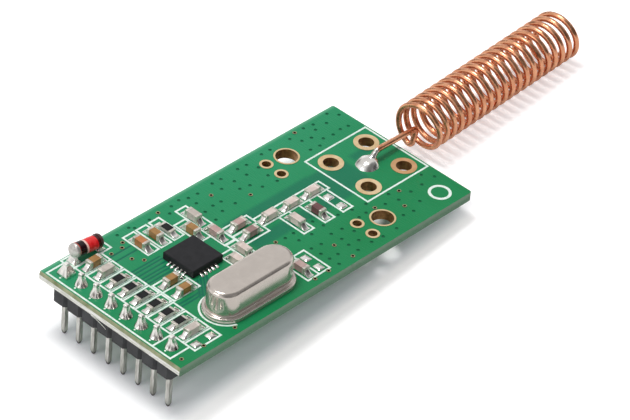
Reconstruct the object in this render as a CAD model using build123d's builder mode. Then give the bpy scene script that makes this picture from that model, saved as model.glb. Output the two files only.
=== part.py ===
"""A wireless transceiver module: a small circuit board with a pin header at one end and a wound antenna
at the other, a square leadless chip, a metal-can crystal, a glass diode and chip parts.

Millimetres, +Z up. The origin is the middle of the header's pin row, on the header's seating face.
+X runs along the board to the antenna, +Y across it.
"""

from build123d import *
import math
import os

os.makedirs("parts", exist_ok=True)

# Header: square pins in a moulded strip under the board
pin_count = 8
pin_pitch = 2.0
pin_width = 0.45
pin_below = 4.1
pin_above = 1.35
pin_point = 0.4
pin_point_width = 0.22
pin_top_chamfer = 0.06
housing_width = 2.0
housing_height = 1.96
housing_end = 0.86
housing_notch = 0.28
housing_end_chamfer = 0.3

# Board
board_thickness = 1.0
header_inset = 1.474
front_margin = 2.685
back_margin = 2.0
corner_radius = 0.25
score_depth = 0.36
score_depth_below = 0.14
score_width = 0.14
foil = 0.04
plating = 0.03
dimple_bore = 0.36
dimple_depth = 0.05

# Lines along the board, each from the one before it
column_from_pins = 2.876
chip_from_column = 7.51
chain_from_chip = 10.09
chain_pitch = 2.95
chain_count = 3
antenna_from_chain = 7.47
antenna_inset = 4.56

# Lines across the board, from its front edge
column_first_row = 2.94
column_pitch = 1.63
resistor_rows = 6
chip_across = 10.4
crystal_across = 3.3
antenna_across = 9.72

# Chip parts, all of one outline
block_length = 1.6
block_width = 0.8
capacitor_height = 0.75
slim_capacitor_height = 0.65
tall_capacitor_height = 0.8
resistor_height = 0.45
end_band = 0.32
end_skin = 0.025
block_corner = 0.05
glaze_length = 1.02
pad_offset = 0.95
pad_length = 0.9
pad_width = 0.76
fillet_share = 0.72
fillet_toe = 0.03
fillet_margin = 0.03
fillet_hollow_run = 0.38
fillet_hollow_rise = 0.4

# Square leadless chip
chip_side = 4.0
chip_height = 0.84
chip_edge = 0.07
lead_pitch = 0.5
leads_per_side = 5
lead_length = 0.42
lead_width = 0.24
lead_height = 0.2
lead_pad_reach = 0.42
lead_fillet_rise = 0.24
paddle_side = 2.6

# Crystal in its drawn can
crystal_from_chip = 0.31
flange_length = 10.75
flange_width = 4.5
base_thickness = 0.25
can_flange_thickness = 0.22
can_length = 10.1
can_width = 3.65
crystal_height = 3.15
can_wall = 0.2
can_top_radius = 0.5
can_root_radius = 0.12
can_clearance = 0.06
plug_height = 0.55
crystal_lead_spacing = 4.88
crystal_lead_width = 0.43
crystal_lead_below = 0.9
seal_width = 1.1
clip_width = 0.9
clip_length = 2.25
clip_height = 0.5
blank_length = 6.4
blank_width = 1.8
blank_thickness = 0.14
blank_height = 1.75

# Glass diode lying on its side
diode_from_column = 0.51
diode_from_back = 1.035
diode_length = 3.5
diode_width = 1.5
diode_cap_length = 0.42
diode_glass_width = 1.42
diode_glass_wall = 0.33
diode_raise = 0.27
diode_tilt = 8.2
die_width = 0.36
die_thickness = 0.3
diode_pad_width = 1.2
diode_pad_length = 0.95
diode_solder_rise = 0.62
diode_solder_taper = 12.0

# Antenna: one length of wire, from its tail under the board to the last turn
wire_width = 0.6
coil_radius = 2.47
coil_pitch = 1.116
coil_turns = 19.9
coil_start_angle = -60.0
coil_from_feed = 7.06
coil_axis_above = 0.88
coil_axis_across = 0.06
coil_rise = 2.9
coil_yaw = 1.1
lead_run_height = 1.2
lead_slope_run = 1.28
lead_slope_depth = 0.4
lead_inner_height = 0.97
tail_below = 1.5
lead_bend = 0.6
hook_bend = 0.5
hook_run = 0.9

# Holes: bore and ring of each kind
antenna_bore = 1.6
antenna_ring = 2.6
feed_ring = 2.36
antenna_square = 5.08
mounting_bore = 2.25
mounting_ring = 2.62
mounting_spacing = 12.9
mounting_from_antenna = 5.1
mounting_across_offset = -0.33
pin_hole_bore = 0.8
pin_hole_ring = 1.3
first_pad_side = 1.14
crystal_hole_bore = 0.7
crystal_hole_ring = 1.4
test_bore = 0.93
test_ring = 1.42
via_bore = 0.28
via_ring = 0.44

# Solder
pin_solder_height = 1.0
pin_solder_neck = 0.33
pin_solder_waist = 0.41
first_pin_neck_side = 0.48
joint_below_height = 0.6
joint_neck = 0.265
joint_waist = 0.355
waist_share = 0.45
mound_width = 2.45
mound_height = 0.62
mound_shoulder_run = 0.88
mound_shoulder_rise = 0.37
mound_below = 0.7
mound_below_neck = 0.45
mound_below_shoulder_run = 0.74
mound_below_shoulder_drop = 0.25

# Printed legend
legend_width = 0.2
legend_thickness = 0.02
legend_clearance = 0.06
crystal_line_gap = 0.1
crystal_line_open_from = -3.9
crystal_line_end = 3.1
row_frame_left = 1.65
row_frame_right = 1.72
row_frame_half = 0.68
row_frame_lift = 0.26
header_frame_left = 1.244
header_frame_front = 1.1
header_frame_back = 1.36
last_pin_line = 1.26
diode_frame_gap = 0.26
diode_frame_right = 3.03
diode_frame_depth = 1.84
pin_mark_inset = 0.43
mark_ring = 2.35
mark_line = 0.3
mark_from_antenna = (2.08, -7.72)

# How close an edge must be to a level to be picked there
pick_tolerance = 0.04

# Levels and edges worked out from the sizes above
board_bottom = housing_height + foil
board_top = board_bottom + board_thickness
seat = board_top + foil
pin_rows = [((pin_count - 1) / 2 - k) * pin_pitch for k in range(pin_count)]
board_left = -header_inset
board_snap = board_left - score_width
board_front = pin_rows[-1] - front_margin
board_back = pin_rows[0] + back_margin
board_width = board_back - board_front
column_x = column_from_pins
chip_x = column_x + chip_from_column
chain_x = chip_x + chain_from_chip
chain_end = chain_x + (chain_count - 1) * chain_pitch
antenna_x = chain_end + antenna_from_chain
board_right = antenna_x + antenna_inset
board_length = board_right - board_snap
chip_y = board_front + chip_across
crystal_x = chip_x + crystal_from_chip
crystal_y = board_front + crystal_across
antenna_y = board_front + antenna_across


def spots(datum, places):
    """Turns places given from a datum point into the part's own frame."""
    return [(datum[0] + x, datum[1] + y) for x, y in places]


corner = (board_left, board_front)
chip = (chip_x, chip_y)
crystal = (crystal_x, crystal_y)
antenna = (antenna_x, antenna_y)
column = (column_x, board_front + column_first_row)
column_top = (column_x, column[1] + resistor_rows * column_pitch)

# Places of the holes
pin_holes = [(0, y) for y in pin_rows]
crystal_holes = spots(crystal, [(-crystal_lead_spacing / 2, 0), (crystal_lead_spacing / 2, 0)])
antenna_holes = [antenna] + spots(
    antenna, [(i * antenna_square / 2, j * antenna_square / 2) for i in (-1, 1) for j in (-1, 1)]
)
mounting_holes = spots(
    antenna,
    [(-mounting_from_antenna, mounting_across_offset + side * mounting_spacing / 2) for side in (-1, 1)],
)
test_holes = spots(antenna, [(-7.52, 6.53), (-7.52, 4.48), (-7.62, -5.77), (-7.62, -7.82)])
open_vias = (
    spots(chip, [(2.54, 7.3), (8.34, 5.9), (11.29, 3.45), (-3.16, 6.25), (-3.76, 5.7), (-5.16, 5.7)])
    + spots(chip, [(-4.21, 3.9), (-3.46, 3.0), (7.84, -3.3)])
    + spots(antenna, [(-11.72, -6.62), (-4.54, -5.22), (-0.77, -4.95), (-2.12, -6.92), (-1.72, 8.28)])
    + spots(antenna, [(-11.57, -8.92), (-14.92, -8.92), (-16.77, -8.92)])
    + spots(corner, [(3.8, 0.85), (0.95, 0.85), (7.8, 0.8)])
)
covered_vias = (
    spots(chip, [(-2.76, 7.4), (5.44, 7.4), (6.39, 7.05), (7.54, 6.95), (9.84, 5.95), (11.64, 6.0)])
    + spots(chip, [(13.29, 5.95), (7.34, 4.65), (12.34, 4.55), (14.79, 4.5), (7.44, 3.45), (9.24, 3.5)])
    + spots(chip, [(13.09, 3.6), (12.84, -3.4), (9.74, -4.55), (9.74, -6.2), (10.94, -6.35)])
    + spots(chip, [(14.14, -6.05), (14.79, -7.05), (12.99, -7.1), (14.09, -8.3), (11.04, -8.45)])
    + spots(antenna, [(-6.72, 7.98), (-0.52, 8.23), (1.88, 7.33), (3.83, 7.48), (-2.12, 6.88)])
    + spots(antenna, [(-1.02, 6.63), (0.98, 5.58), (3.18, 5.58), (-2.52, 5.33), (-1.82, -5.87)])
    + spots(antenna, [(0.03, -5.77), (1.68, -5.72), (-0.42, -7.37), (-2.02, -8.02), (2.78, -4.62)])
    + spots(corner, [(10.7, 17.9), (11.1, 17.5), (13.05, 17.5), (15.2, 16.9), (16.1, 17.6), (21.6, 17.55)])
    + spots(corner, [(22.75, 17.5), (25.1, 17.55), (26.25, 17.45), (29.75, 17.65), (18.25, 16.35)])
    + spots(corner, [(26.85, 16.4), (17.95, 14.85), (20.25, 15.0), (23.05, 15.2), (26.7, 13.7)])
    + spots(corner, [(17.85, 13.3), (20.85, 6.95), (22.0, 6.95), (23.2, 5.7), (25.05, 5.9), (27.3, 6.1)])
    + spots(corner, [(28.9, 5.75), (30.6, 5.5), (24.65, 4.5), (28.55, 4.5), (29.6, 4.55), (32.0, 4.25)])
    + spots(corner, [(21.7, 3.05), (24.7, 2.25), (21.8, 2.0), (32.05, 1.9), (21.9, 0.85), (24.8, 1.1)])
    + spots(corner, [(26.7, 1.1), (28.15, 0.95), (30.05, 0.95), (33.4, 5.1), (38.9, 4.05), (32.5, 17.6)])
    + spots(corner, [(36.0, 17.75), (38.35, 18.1), (35.55, 17.0), (35.1, 15.5), (37.5, 15.45), (34.0, 14.9)])
)


# Places of the chip parts: a point, the way the part lies, and its height
def lying(datum, places, way, height):
    """Chip parts that lie the same way and are equally high."""
    return [(spot, way, height) for spot in spots(datum, places)]


capacitors = (
    lying(column_top, [(0, 2 * column_pitch)], "x", tall_capacitor_height)
    + lying(column_top, [(0, column_pitch), (0, -resistor_rows * column_pitch)], "x", capacitor_height)
    + lying(chip, [(-2.14, 4.8), (-0.26, 4.8), (2.92, 3.02)], "y", capacitor_height)
    + lying(chip, [(4.49, 4.45)], "y", tall_capacitor_height)
    + lying(chip, [(4.34, 1.3)], "y", capacitor_height)
    + lying(chip, [(-3.91, -1.05), (-3.91, -2.8), (6.86, 0.7), (6.89, -0.9)], "x", capacitor_height)
    + lying((chain_x, chip_y), [(k * chain_pitch, -0.3) for k in (1, 2)], "x", slim_capacitor_height)
    + lying((chain_x, chip_y), [(1.41, -2.58), (4.11, -2.73)], "y", capacitor_height)
    + lying(chip, [(2.84, -3.1), (4.49, -2.3)], "y", capacitor_height)
    + lying(crystal, [(6.33, -0.65)], "y", capacitor_height)
)
resistors = (
    lying(column_top, [(0, -k * column_pitch) for k in range(resistor_rows)], "x", resistor_height)
    + lying(chip, [(1.29, 4.8)], "y", resistor_height)
)
inductor = ((chain_x, chip_y - 0.25), "x", capacitor_height)
bare_pads = (
    spots(column, [(-0.95, -1.49), (0.95, -1.49)])
    + spots((chain_x, chip_y), [(6.65, -1.8), (6.65, -3.55)])
    + spots(crystal, [(7.93, 0.2), (7.93, -1.5)])
)
blocks = capacitors + resistors + [inductor]


def block_plane(block):
    """The plane on the pads at a chip part's middle, with x along the part."""
    spot, way, _ = block
    return Plane(origin=(spot[0], spot[1], seat), x_dir=(1, 0, 0) if way == "x" else (0, 1, 0))


def through(plane, distance, height=0.0):
    """A point along a block's plane and above it."""
    return plane.origin + plane.x_dir * distance + plane.z_dir * height


# Header strip, moulded in one piece with break-off notches between the pins
housing_length = pin_rows[0] - pin_rows[-1] + 2 * housing_end
notch_square = housing_notch * math.sqrt(2)
with BuildPart() as header_housing:
    with BuildSketch(Plane.XY):
        Rectangle(housing_width, housing_length)
        middles = [(a + b) / 2 for a, b in zip(pin_rows, pin_rows[1:])]
        with Locations(*[(side * housing_width / 2, y) for y in middles for side in (-1, 1)]):
            Rectangle(notch_square, notch_square, 45, mode=Mode.SUBTRACT)
    extrude(amount=housing_height)
    ends = header_housing.edges().filter_by(Axis.Z).group_by(Axis.Y)
    chamfer(ends[0] + ends[-1], housing_end_chamfer)
    with BuildSketch(Plane.XY):
        with Locations(*pin_holes):
            Rectangle(pin_width, pin_width)
    extrude(amount=housing_height, mode=Mode.SUBTRACT)
header_housing.part.label = "header_housing"
export_step(header_housing.part, "parts/header_housing.step")

# Header pins, each with a tapered point below
point_slope = math.degrees(math.atan((pin_width - pin_point_width) / 2 / pin_point))
for k, y in enumerate(pin_rows):
    with BuildPart() as header_pin:
        with BuildSketch(Plane.XY.offset(pin_point - pin_below)):
            with Locations((0, y)):
                Rectangle(pin_width, pin_width)
        extrude(amount=pin_below - pin_point + board_top + pin_above)
        chamfer(header_pin.faces().sort_by(Axis.Z)[-1].edges(), pin_top_chamfer)
        extrude(header_pin.faces().sort_by(Axis.Z)[0], amount=pin_point, taper=point_slope)
    header_pin.part.label = f"header_pin_{k + 1}"
    export_step(header_pin.part, f"parts/header_pin_{k + 1}.step")

# Circuit board, snapped off a panel along a scored line at the header end
with BuildPart() as circuit_board:
    with BuildSketch(Plane.XY.offset(board_bottom)):
        with Locations((board_snap, board_front)):
            Rectangle(board_length, board_width, align=(Align.MIN, Align.MIN))
        for places, bore in (
            (pin_holes, pin_hole_bore),
            (crystal_holes, crystal_hole_bore),
            (antenna_holes, antenna_bore),
            (mounting_holes, mounting_bore),
            (test_holes, test_bore),
            (open_vias, via_bore),
        ):
            with Locations(*places):
                Circle(bore / 2 + plating, mode=Mode.SUBTRACT)
    extrude(amount=board_thickness)
    upright = circuit_board.edges().filter_by(Axis.Z).filter_by(GeomType.LINE)
    far_corners = upright.filter_by_position(
        Axis.X, board_right - pick_tolerance, board_right + pick_tolerance
    )
    fillet(far_corners, corner_radius)
    with BuildSketch(Plane.XZ.offset(-board_back)):
        for level, depth in ((board_top, -score_depth), (board_bottom, score_depth_below)):
            with BuildLine():
                Polyline((board_snap, level), (board_left, level), (board_snap, level + depth), close=True)
            make_face()
    extrude(amount=board_width, mode=Mode.SUBTRACT)
    with BuildSketch(Plane.XY.offset(board_top), Plane.XY.offset(board_bottom + dimple_depth)):
        with Locations(*covered_vias):
            Circle(dimple_bore / 2)
    extrude(amount=-dimple_depth, mode=Mode.SUBTRACT)
circuit_board.part.label = "circuit_board"
export_step(circuit_board.part, "parts/circuit_board.step")


def linings(places, bore, ring):
    """Plated linings of round holes: a barrel through the board and a flat ring on each face."""
    with BuildPart() as lining:
        for level, thickness, width in (
            (board_bottom - foil, foil, ring),
            (board_bottom, board_thickness, bore + 2 * plating),
            (board_top, foil, ring),
        ):
            with BuildSketch(Plane.XY.offset(level)):
                with Locations(*places):
                    Circle(width / 2)
            extrude(amount=thickness)
        with BuildSketch(Plane.XY.offset(board_bottom - foil)):
            with Locations(*places):
                Circle(bore / 2)
        extrude(amount=board_thickness + 2 * foil, mode=Mode.SUBTRACT)
    return lining


# The header's first hole has a square pad on top; the crystal's two holes are lined like the rest
with BuildPart() as lead_hole_linings:
    add(linings(pin_holes, pin_hole_bore, pin_hole_ring).part)
    add(linings(crystal_holes, crystal_hole_bore, crystal_hole_ring).part)
    with BuildSketch(Plane.XY.offset(board_top)):
        with Locations(pin_holes[0]):
            Rectangle(first_pad_side, first_pad_side)
            Circle(pin_hole_bore / 2, mode=Mode.SUBTRACT)
    extrude(amount=foil)
lead_hole_linings.part.label = "lead_hole_linings"
export_step(lead_hole_linings.part, "parts/lead_hole_linings.step")

# The wire's own hole has a narrower ring, which its solder covers
with BuildPart() as antenna_hole_linings:
    add(linings(antenna_holes[:1], antenna_bore, feed_ring).part)
    add(linings(antenna_holes[1:], antenna_bore, antenna_ring).part)
antenna_hole_linings.part.label = "antenna_hole_linings"
export_step(antenna_hole_linings.part, "parts/antenna_hole_linings.step")

mounting_hole_linings = linings(mounting_holes, mounting_bore, mounting_ring)
mounting_hole_linings.part.label = "mounting_hole_linings"
export_step(mounting_hole_linings.part, "parts/mounting_hole_linings.step")

test_hole_linings = linings(test_holes, test_bore, test_ring)
test_hole_linings.part.label = "test_hole_linings"
export_step(test_hole_linings.part, "parts/test_hole_linings.step")

via_linings = linings(open_vias, via_bore, via_ring)
via_linings.part.label = "via_linings"
export_step(via_linings.part, "parts/via_linings.step")

# Chip leads: flat copper feet flush with the package's sides, and the paddle under its middle
with BuildPart() as chip_leads:
    with BuildSketch(Plane.XY.offset(seat)):
        with Locations(chip):
            with PolarLocations((chip_side - lead_length) / 2, 4):
                with GridLocations(0, lead_pitch, 1, leads_per_side):
                    Rectangle(lead_length, lead_width)
            Rectangle(paddle_side, paddle_side)
    extrude(amount=lead_height)
chip_leads.part.label = "chip_leads"
export_step(chip_leads.part, "parts/chip_leads.step")

# Chip package, moulded around its leads
with BuildPart() as chip_package:
    with BuildSketch(Plane.XY.offset(seat)):
        with Locations(chip):
            Rectangle(chip_side, chip_side)
    extrude(amount=chip_height)
    chamfer(chip_package.faces().sort_by(Axis.Z)[-1].edges(), chip_edge)
    add(chip_leads.part, mode=Mode.SUBTRACT)
chip_package.part.label = "chip_package"
export_step(chip_package.part, "parts/chip_package.step")

# Diode, tilted up at its header end: two capped studs in a glass sleeve with the die between them
diode_x = column_x + diode_from_column
diode_y = board_back - diode_from_back
diode_axis = Vector(math.cos(math.radians(diode_tilt)), 0, -math.sin(math.radians(diode_tilt)))
diode_middle = Vector(diode_x, diode_y, seat + diode_width / 2 + diode_raise)
sleeve_length = diode_length - 2 * diode_cap_length


def diode_plane(distance):
    """A plane across the diode, at a distance along it from its middle."""
    return Plane(origin=diode_middle + diode_axis * distance, x_dir=(0, 1, 0), z_dir=diode_axis)


with BuildPart() as diode_sleeve:
    with BuildSketch(diode_plane(-sleeve_length / 2)):
        Circle(diode_glass_width / 2)
        Circle(diode_glass_width / 2 - diode_glass_wall, mode=Mode.SUBTRACT)
    extrude(amount=sleeve_length)
diode_sleeve.part.label = "diode_sleeve"
export_step(diode_sleeve.part, "parts/diode_sleeve.step")


def diode_stud(side):
    """A cap outside the sleeve and the stud that runs in to the die."""
    with BuildPart() as stud:
        with BuildSketch(diode_plane(side * sleeve_length / 2)):
            Circle(diode_width / 2)
        extrude(amount=side * diode_cap_length)
        outer = stud.faces().sort_by(Axis((0, 0, 0), diode_axis))[-1 if side > 0 else 0]
        fillet(outer.edges(), diode_cap_length / 2)
        with BuildSketch(diode_plane(side * die_thickness / 2)):
            Circle(diode_glass_width / 2 - diode_glass_wall)
        extrude(amount=side * (sleeve_length - die_thickness) / 2)
    return stud


diode_banded_stud = diode_stud(-1)
diode_banded_stud.part.label = "diode_banded_stud"
export_step(diode_banded_stud.part, "parts/diode_banded_stud.step")

diode_plain_stud = diode_stud(1)
diode_plain_stud.part.label = "diode_plain_stud"
export_step(diode_plain_stud.part, "parts/diode_plain_stud.step")

with BuildPart() as diode_die:
    with BuildSketch(diode_plane(-die_thickness / 2)):
        Rectangle(die_width, die_width)
    extrude(amount=die_thickness)
diode_die.part.label = "diode_die"
export_step(diode_die.part, "parts/diode_die.step")

# Tinned pads on the board's top face
diode_pads = [(diode_x + side * (diode_length - diode_cap_length) / 2, diode_y) for side in (-1, 1)]
lead_pad_length = lead_length + lead_pad_reach
lead_pad_radius = chip_side / 2 - lead_length + lead_pad_length / 2
with BuildPart() as solder_pads:
    with BuildSketch(Plane.XY.offset(board_top)) as pad_faces:
        for block in blocks:
            plane = block_plane(block)
            size = (pad_length, pad_width) if block[1] == "x" else (pad_width, pad_length)
            ends = [through(plane, side * pad_offset) for side in (-1, 1)]
            with Locations(*[(end.X, end.Y) for end in ends]):
                Rectangle(*size)
        with Locations(*bare_pads[:2]):
            Rectangle(pad_length, pad_width)
        with Locations(*bare_pads[2:]):
            Rectangle(pad_width, pad_length)
        with Locations(*diode_pads):
            Rectangle(diode_pad_length, diode_pad_width)
        with Locations(chip):
            with PolarLocations(lead_pad_radius, 4):
                with GridLocations(0, lead_pitch, 1, leads_per_side):
                    Rectangle(lead_pad_length, lead_width)
            Rectangle(paddle_side, paddle_side)
    extrude(amount=foil)
solder_pads.part.label = "solder_pads"
export_step(solder_pads.part, "parts/solder_pads.step")


def fillet_plane(origin, outward):
    """An upright plane whose x runs outward from a soldered end."""
    return Plane(origin=origin, x_dir=outward, z_dir=(outward.Y, -outward.X, 0))


def fillet_profile(run, rise):
    """A soldered foot's hollow slope, from the part's end face out to the pad's edge."""
    hollow = (run * fillet_hollow_run, rise * fillet_hollow_rise)
    with BuildLine() as outline:
        Polyline((0, rise), (0, 0), (run, 0), (run, fillet_toe))
        ThreePointArc((run, fillet_toe), hollow, (0, rise))
    make_face(outline.edges())


# Solder at the chip parts' ends, the chip's leads and the diode's caps
block_run = pad_offset + pad_length / 2 - block_length / 2 - fillet_margin
with BuildPart() as solder_joints:
    for group in (capacitors + [inductor], resistors):
        faces = []
        for block in group:
            plane = block_plane(block)
            for side in (-1, 1):
                faces.append(fillet_plane(through(plane, side * block_length / 2), plane.x_dir * side))
        with BuildSketch(*faces):
            fillet_profile(block_run, group[0][2] * fillet_share)
        extrude(amount=pad_width / 2 - fillet_margin, both=True)
    faces = []
    for turn in range(4):
        outward = Vector(1, 0, 0).rotate(Axis.Z, 90 * turn)
        along = Vector(0, 1, 0).rotate(Axis.Z, 90 * turn)
        for k in range(leads_per_side):
            middle = Vector(chip_x, chip_y, seat) + outward * (chip_side / 2)
            faces.append(fillet_plane(middle + along * (k - (leads_per_side - 1) / 2) * lead_pitch, outward))
    with BuildSketch(*faces):
        fillet_profile(lead_pad_reach - fillet_margin, lead_fillet_rise)
    extrude(amount=lead_width / 2, both=True)
    for side, spot in zip((-1, 1), diode_pads):
        lift = -side * math.sin(math.radians(diode_tilt)) * diode_length / 2
        with BuildSketch(Plane.XY.offset(seat)):
            with Locations(spot):
                Rectangle(diode_pad_length - 2 * fillet_margin, diode_pad_width - 2 * fillet_margin)
        extrude(amount=diode_solder_rise + lift + diode_raise, taper=diode_solder_taper)
    add([diode_sleeve.part, diode_banded_stud.part, diode_plain_stud.part], mode=Mode.SUBTRACT)
solder_joints.part.label = "solder_joints"
export_step(solder_joints.part, "parts/solder_joints.step")

# Solder cones around the header pins, filling the holes below them
cone_foot = (pin_hole_ring / 2 - fillet_margin, seat)
cone_waist = (pin_solder_waist, seat + pin_solder_height * waist_share)
cone_neck = (pin_solder_neck, seat + pin_solder_height)
with BuildPart() as pin_joint:
    with BuildSketch(Plane.XZ):
        with BuildLine():
            Polyline(
                cone_neck,
                (0, cone_neck[1]),
                (0, board_bottom),
                (pin_hole_bore / 2, board_bottom),
                (pin_hole_bore / 2, seat),
                cone_foot,
            )
            ThreePointArc(cone_foot, cone_waist, cone_neck)
        make_face()
    revolve(axis=Axis.Z)
    with BuildSketch(Plane.XY.offset(board_bottom)):
        Rectangle(pin_width, pin_width)
    extrude(amount=board_thickness + foil + pin_solder_height, mode=Mode.SUBTRACT)
with BuildPart() as first_pin_joint:
    with BuildSketch(Plane.XY.offset(seat)):
        Rectangle(first_pad_side - fillet_margin, first_pad_side - fillet_margin)
    with BuildSketch(Plane.XY.offset(seat + pin_solder_height)):
        Rectangle(first_pin_neck_side, first_pin_neck_side)
    loft()
    with BuildSketch(Plane.XY.offset(board_bottom)):
        Circle(pin_hole_bore / 2)
    extrude(amount=board_thickness + foil)
    with BuildSketch(Plane.XY.offset(board_bottom)):
        Rectangle(pin_width, pin_width)
    extrude(amount=board_thickness + foil + pin_solder_height, mode=Mode.SUBTRACT)
with BuildPart() as header_solder:
    with Locations((0, pin_rows[0], 0)):
        add(first_pin_joint.part)
    with Locations(*[(0, y, 0) for y in pin_rows[1:]]):
        add(pin_joint.part)
header_solder.part.label = "header_solder"
export_step(header_solder.part, "parts/header_solder.step")

# Crystal base: a flanged plate with a raised middle, pierced for the glass seals
crystal_seat = board_top + foil
with BuildPart() as crystal_base:
    with BuildSketch(Plane.XY.offset(crystal_seat)):
        with Locations(crystal):
            SlotOverall(flange_length, flange_width)
    extrude(amount=base_thickness)
    inner_length = can_length - 2 * can_wall
    inner_width = can_width - 2 * can_wall
    with BuildSketch(Plane.XY.offset(crystal_seat + base_thickness)):
        with Locations(crystal):
            SlotOverall(inner_length - 2 * can_clearance, inner_width - 2 * can_clearance)
    extrude(amount=plug_height)
    with BuildSketch(Plane.XY.offset(crystal_seat)):
        with Locations(*crystal_holes):
            Circle(seal_width / 2)
    extrude(amount=base_thickness + plug_height, mode=Mode.SUBTRACT)
crystal_base.part.label = "crystal_base"
export_step(crystal_base.part, "parts/crystal_base.step")

# Crystal can: drawn from sheet, open below, welded to the base by its rim
can_bottom = crystal_seat + base_thickness
can_top = board_top + crystal_height
with BuildPart() as crystal_can:
    with BuildSketch(Plane.XY.offset(can_bottom)):
        with Locations(crystal):
            SlotOverall(flange_length, flange_width)
    extrude(amount=can_flange_thickness)
    with BuildSketch(Plane.XY.offset(can_bottom)):
        with Locations(crystal):
            SlotOverall(can_length, can_width)
    extrude(amount=can_top - can_bottom)
    fillet(crystal_can.faces().sort_by(Axis.Z)[-1].edges(), can_top_radius)
    root = crystal_can.edges().filter_by_position(
        Axis.Z,
        can_bottom + can_flange_thickness - pick_tolerance,
        can_bottom + can_flange_thickness + pick_tolerance,
    )
    fillet(root.sort_by(lambda edge: edge.bounding_box().size.X)[:4], can_root_radius)
    with BuildSketch(Plane.XY.offset(can_bottom)):
        with Locations(crystal):
            SlotOverall(inner_length, inner_width)
    extrude(amount=can_top - can_bottom - can_wall, mode=Mode.SUBTRACT)
    ceiling = crystal_can.edges().filter_by_position(
        Axis.Z, can_top - can_wall - pick_tolerance, can_top - can_wall + pick_tolerance
    )
    fillet(ceiling, can_top_radius - can_wall)
crystal_can.part.label = "crystal_can"
export_step(crystal_can.part, "parts/crystal_can.step")

# Glass seals that hold the leads in the base
with BuildPart() as crystal_seals:
    with BuildSketch(Plane.XY.offset(crystal_seat)):
        with Locations(*crystal_holes):
            Circle(seal_width / 2)
            Circle(crystal_lead_width / 2, mode=Mode.SUBTRACT)
    extrude(amount=base_thickness + plug_height)
crystal_seals.part.label = "crystal_seals"
export_step(crystal_seals.part, "parts/crystal_seals.step")

# Crystal leads, each ending in a clip that grips one end of the quartz blank
blank_level = board_top + blank_height
with BuildPart() as crystal_leads:
    with BuildSketch(Plane.XY.offset(board_bottom - crystal_lead_below)):
        with Locations(*crystal_holes):
            Circle(crystal_lead_width / 2)
    extrude(amount=blank_level - board_bottom + crystal_lead_below)
    with BuildSketch(Plane.XY.offset(blank_level - clip_height / 2)):
        with Locations(*crystal_holes):
            Rectangle(clip_width, clip_length)
    extrude(amount=clip_height)
    with BuildSketch(Plane.XY.offset(blank_level - blank_thickness / 2)):
        with Locations(crystal):
            Rectangle(blank_length, blank_width)
    extrude(amount=blank_thickness, mode=Mode.SUBTRACT)
crystal_leads.part.label = "crystal_leads"
export_step(crystal_leads.part, "parts/crystal_leads.step")

# Quartz blank
with BuildPart() as crystal_blank:
    with BuildSketch(Plane.XY.offset(blank_level - blank_thickness / 2)):
        with Locations(crystal):
            Rectangle(blank_length, blank_width)
    extrude(amount=blank_thickness)
crystal_blank.part.label = "crystal_blank"
export_step(crystal_blank.part, "parts/crystal_blank.step")

# The crystal's two solder joints, which fill their holes and stand below the board
underside = board_bottom - foil
joint_foot = (crystal_hole_ring / 2 - fillet_margin, underside)
joint_middle = (joint_waist, underside - joint_below_height * waist_share)
joint_tip = (joint_neck, underside - joint_below_height)
with BuildPart() as lead_joint:
    with BuildSketch(Plane.XZ):
        with BuildLine():
            Polyline(
                joint_tip,
                (0, joint_tip[1]),
                (0, board_top),
                (crystal_hole_bore / 2, board_top),
                (crystal_hole_bore / 2, underside),
                joint_foot,
            )
            ThreePointArc(joint_foot, joint_middle, joint_tip)
        make_face()
    revolve(axis=Axis.Z)
    with BuildSketch(Plane.XY.offset(joint_tip[1])):
        Circle(crystal_lead_width / 2)
    extrude(amount=board_top - joint_tip[1], mode=Mode.SUBTRACT)
with BuildPart() as crystal_solder:
    with Locations(*[(x, y, 0) for x, y in crystal_holes]):
        add(lead_joint.part)
crystal_solder.part.label = "crystal_solder"
export_step(crystal_solder.part, "parts/crystal_solder.step")

# Antenna: tail through the board, lead, hook and close turns, all one wire
coil_axis = Vector(1, 0, 0).rotate(Axis.Y, -coil_rise).rotate(Axis.Z, coil_yaw)
start_angle = math.radians(coil_start_angle)
level_start = Vector(0, math.cos(start_angle), math.sin(start_angle))
start_way = level_start.rotate(Axis.Y, -coil_rise).rotate(Axis.Z, coil_yaw)
coil_origin = Vector(antenna_x + coil_from_feed, antenna_y + coil_axis_across, board_top + coil_axis_above)
coil_plane = Plane(origin=coil_origin, x_dir=start_way, z_dir=coil_axis)
coil_begin = coil_origin + start_way * coil_radius
begin_way = (coil_plane.y_dir * coil_radius + coil_axis * (coil_pitch / (2 * math.pi))).normalized()
lead_points = [
    Vector(antenna_x, antenna_y, board_bottom - tail_below),
    Vector(antenna_x, antenna_y, board_top - lead_slope_depth),
    Vector(antenna_x + lead_slope_run, antenna_y, board_top + lead_run_height),
    Vector(coil_begin.X, coil_origin.Y, board_top + lead_inner_height),
    coil_begin - begin_way * hook_run,
    coil_begin,
]
lead_bends = [hook_bend, lead_bend, lead_bend, hook_bend]
with BuildLine() as turns:
    Helix(coil_pitch, coil_pitch * coil_turns, coil_radius)
placed_turns = coil_plane.from_local_coords(turns.line)
with BuildPart() as antenna_coil:
    with BuildLine() as wire_route:
        FilletPolyline(*lead_points, radius=lead_bends)
        add(placed_turns)
    with BuildSketch(Plane(origin=lead_points[0], z_dir=(0, 0, 1))):
        Circle(wire_width / 2)
    sweep(path=wire_route.wires()[0])
antenna_coil.part.label = "antenna_coil"
export_step(antenna_coil.part, "parts/antenna_coil.step")

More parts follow.
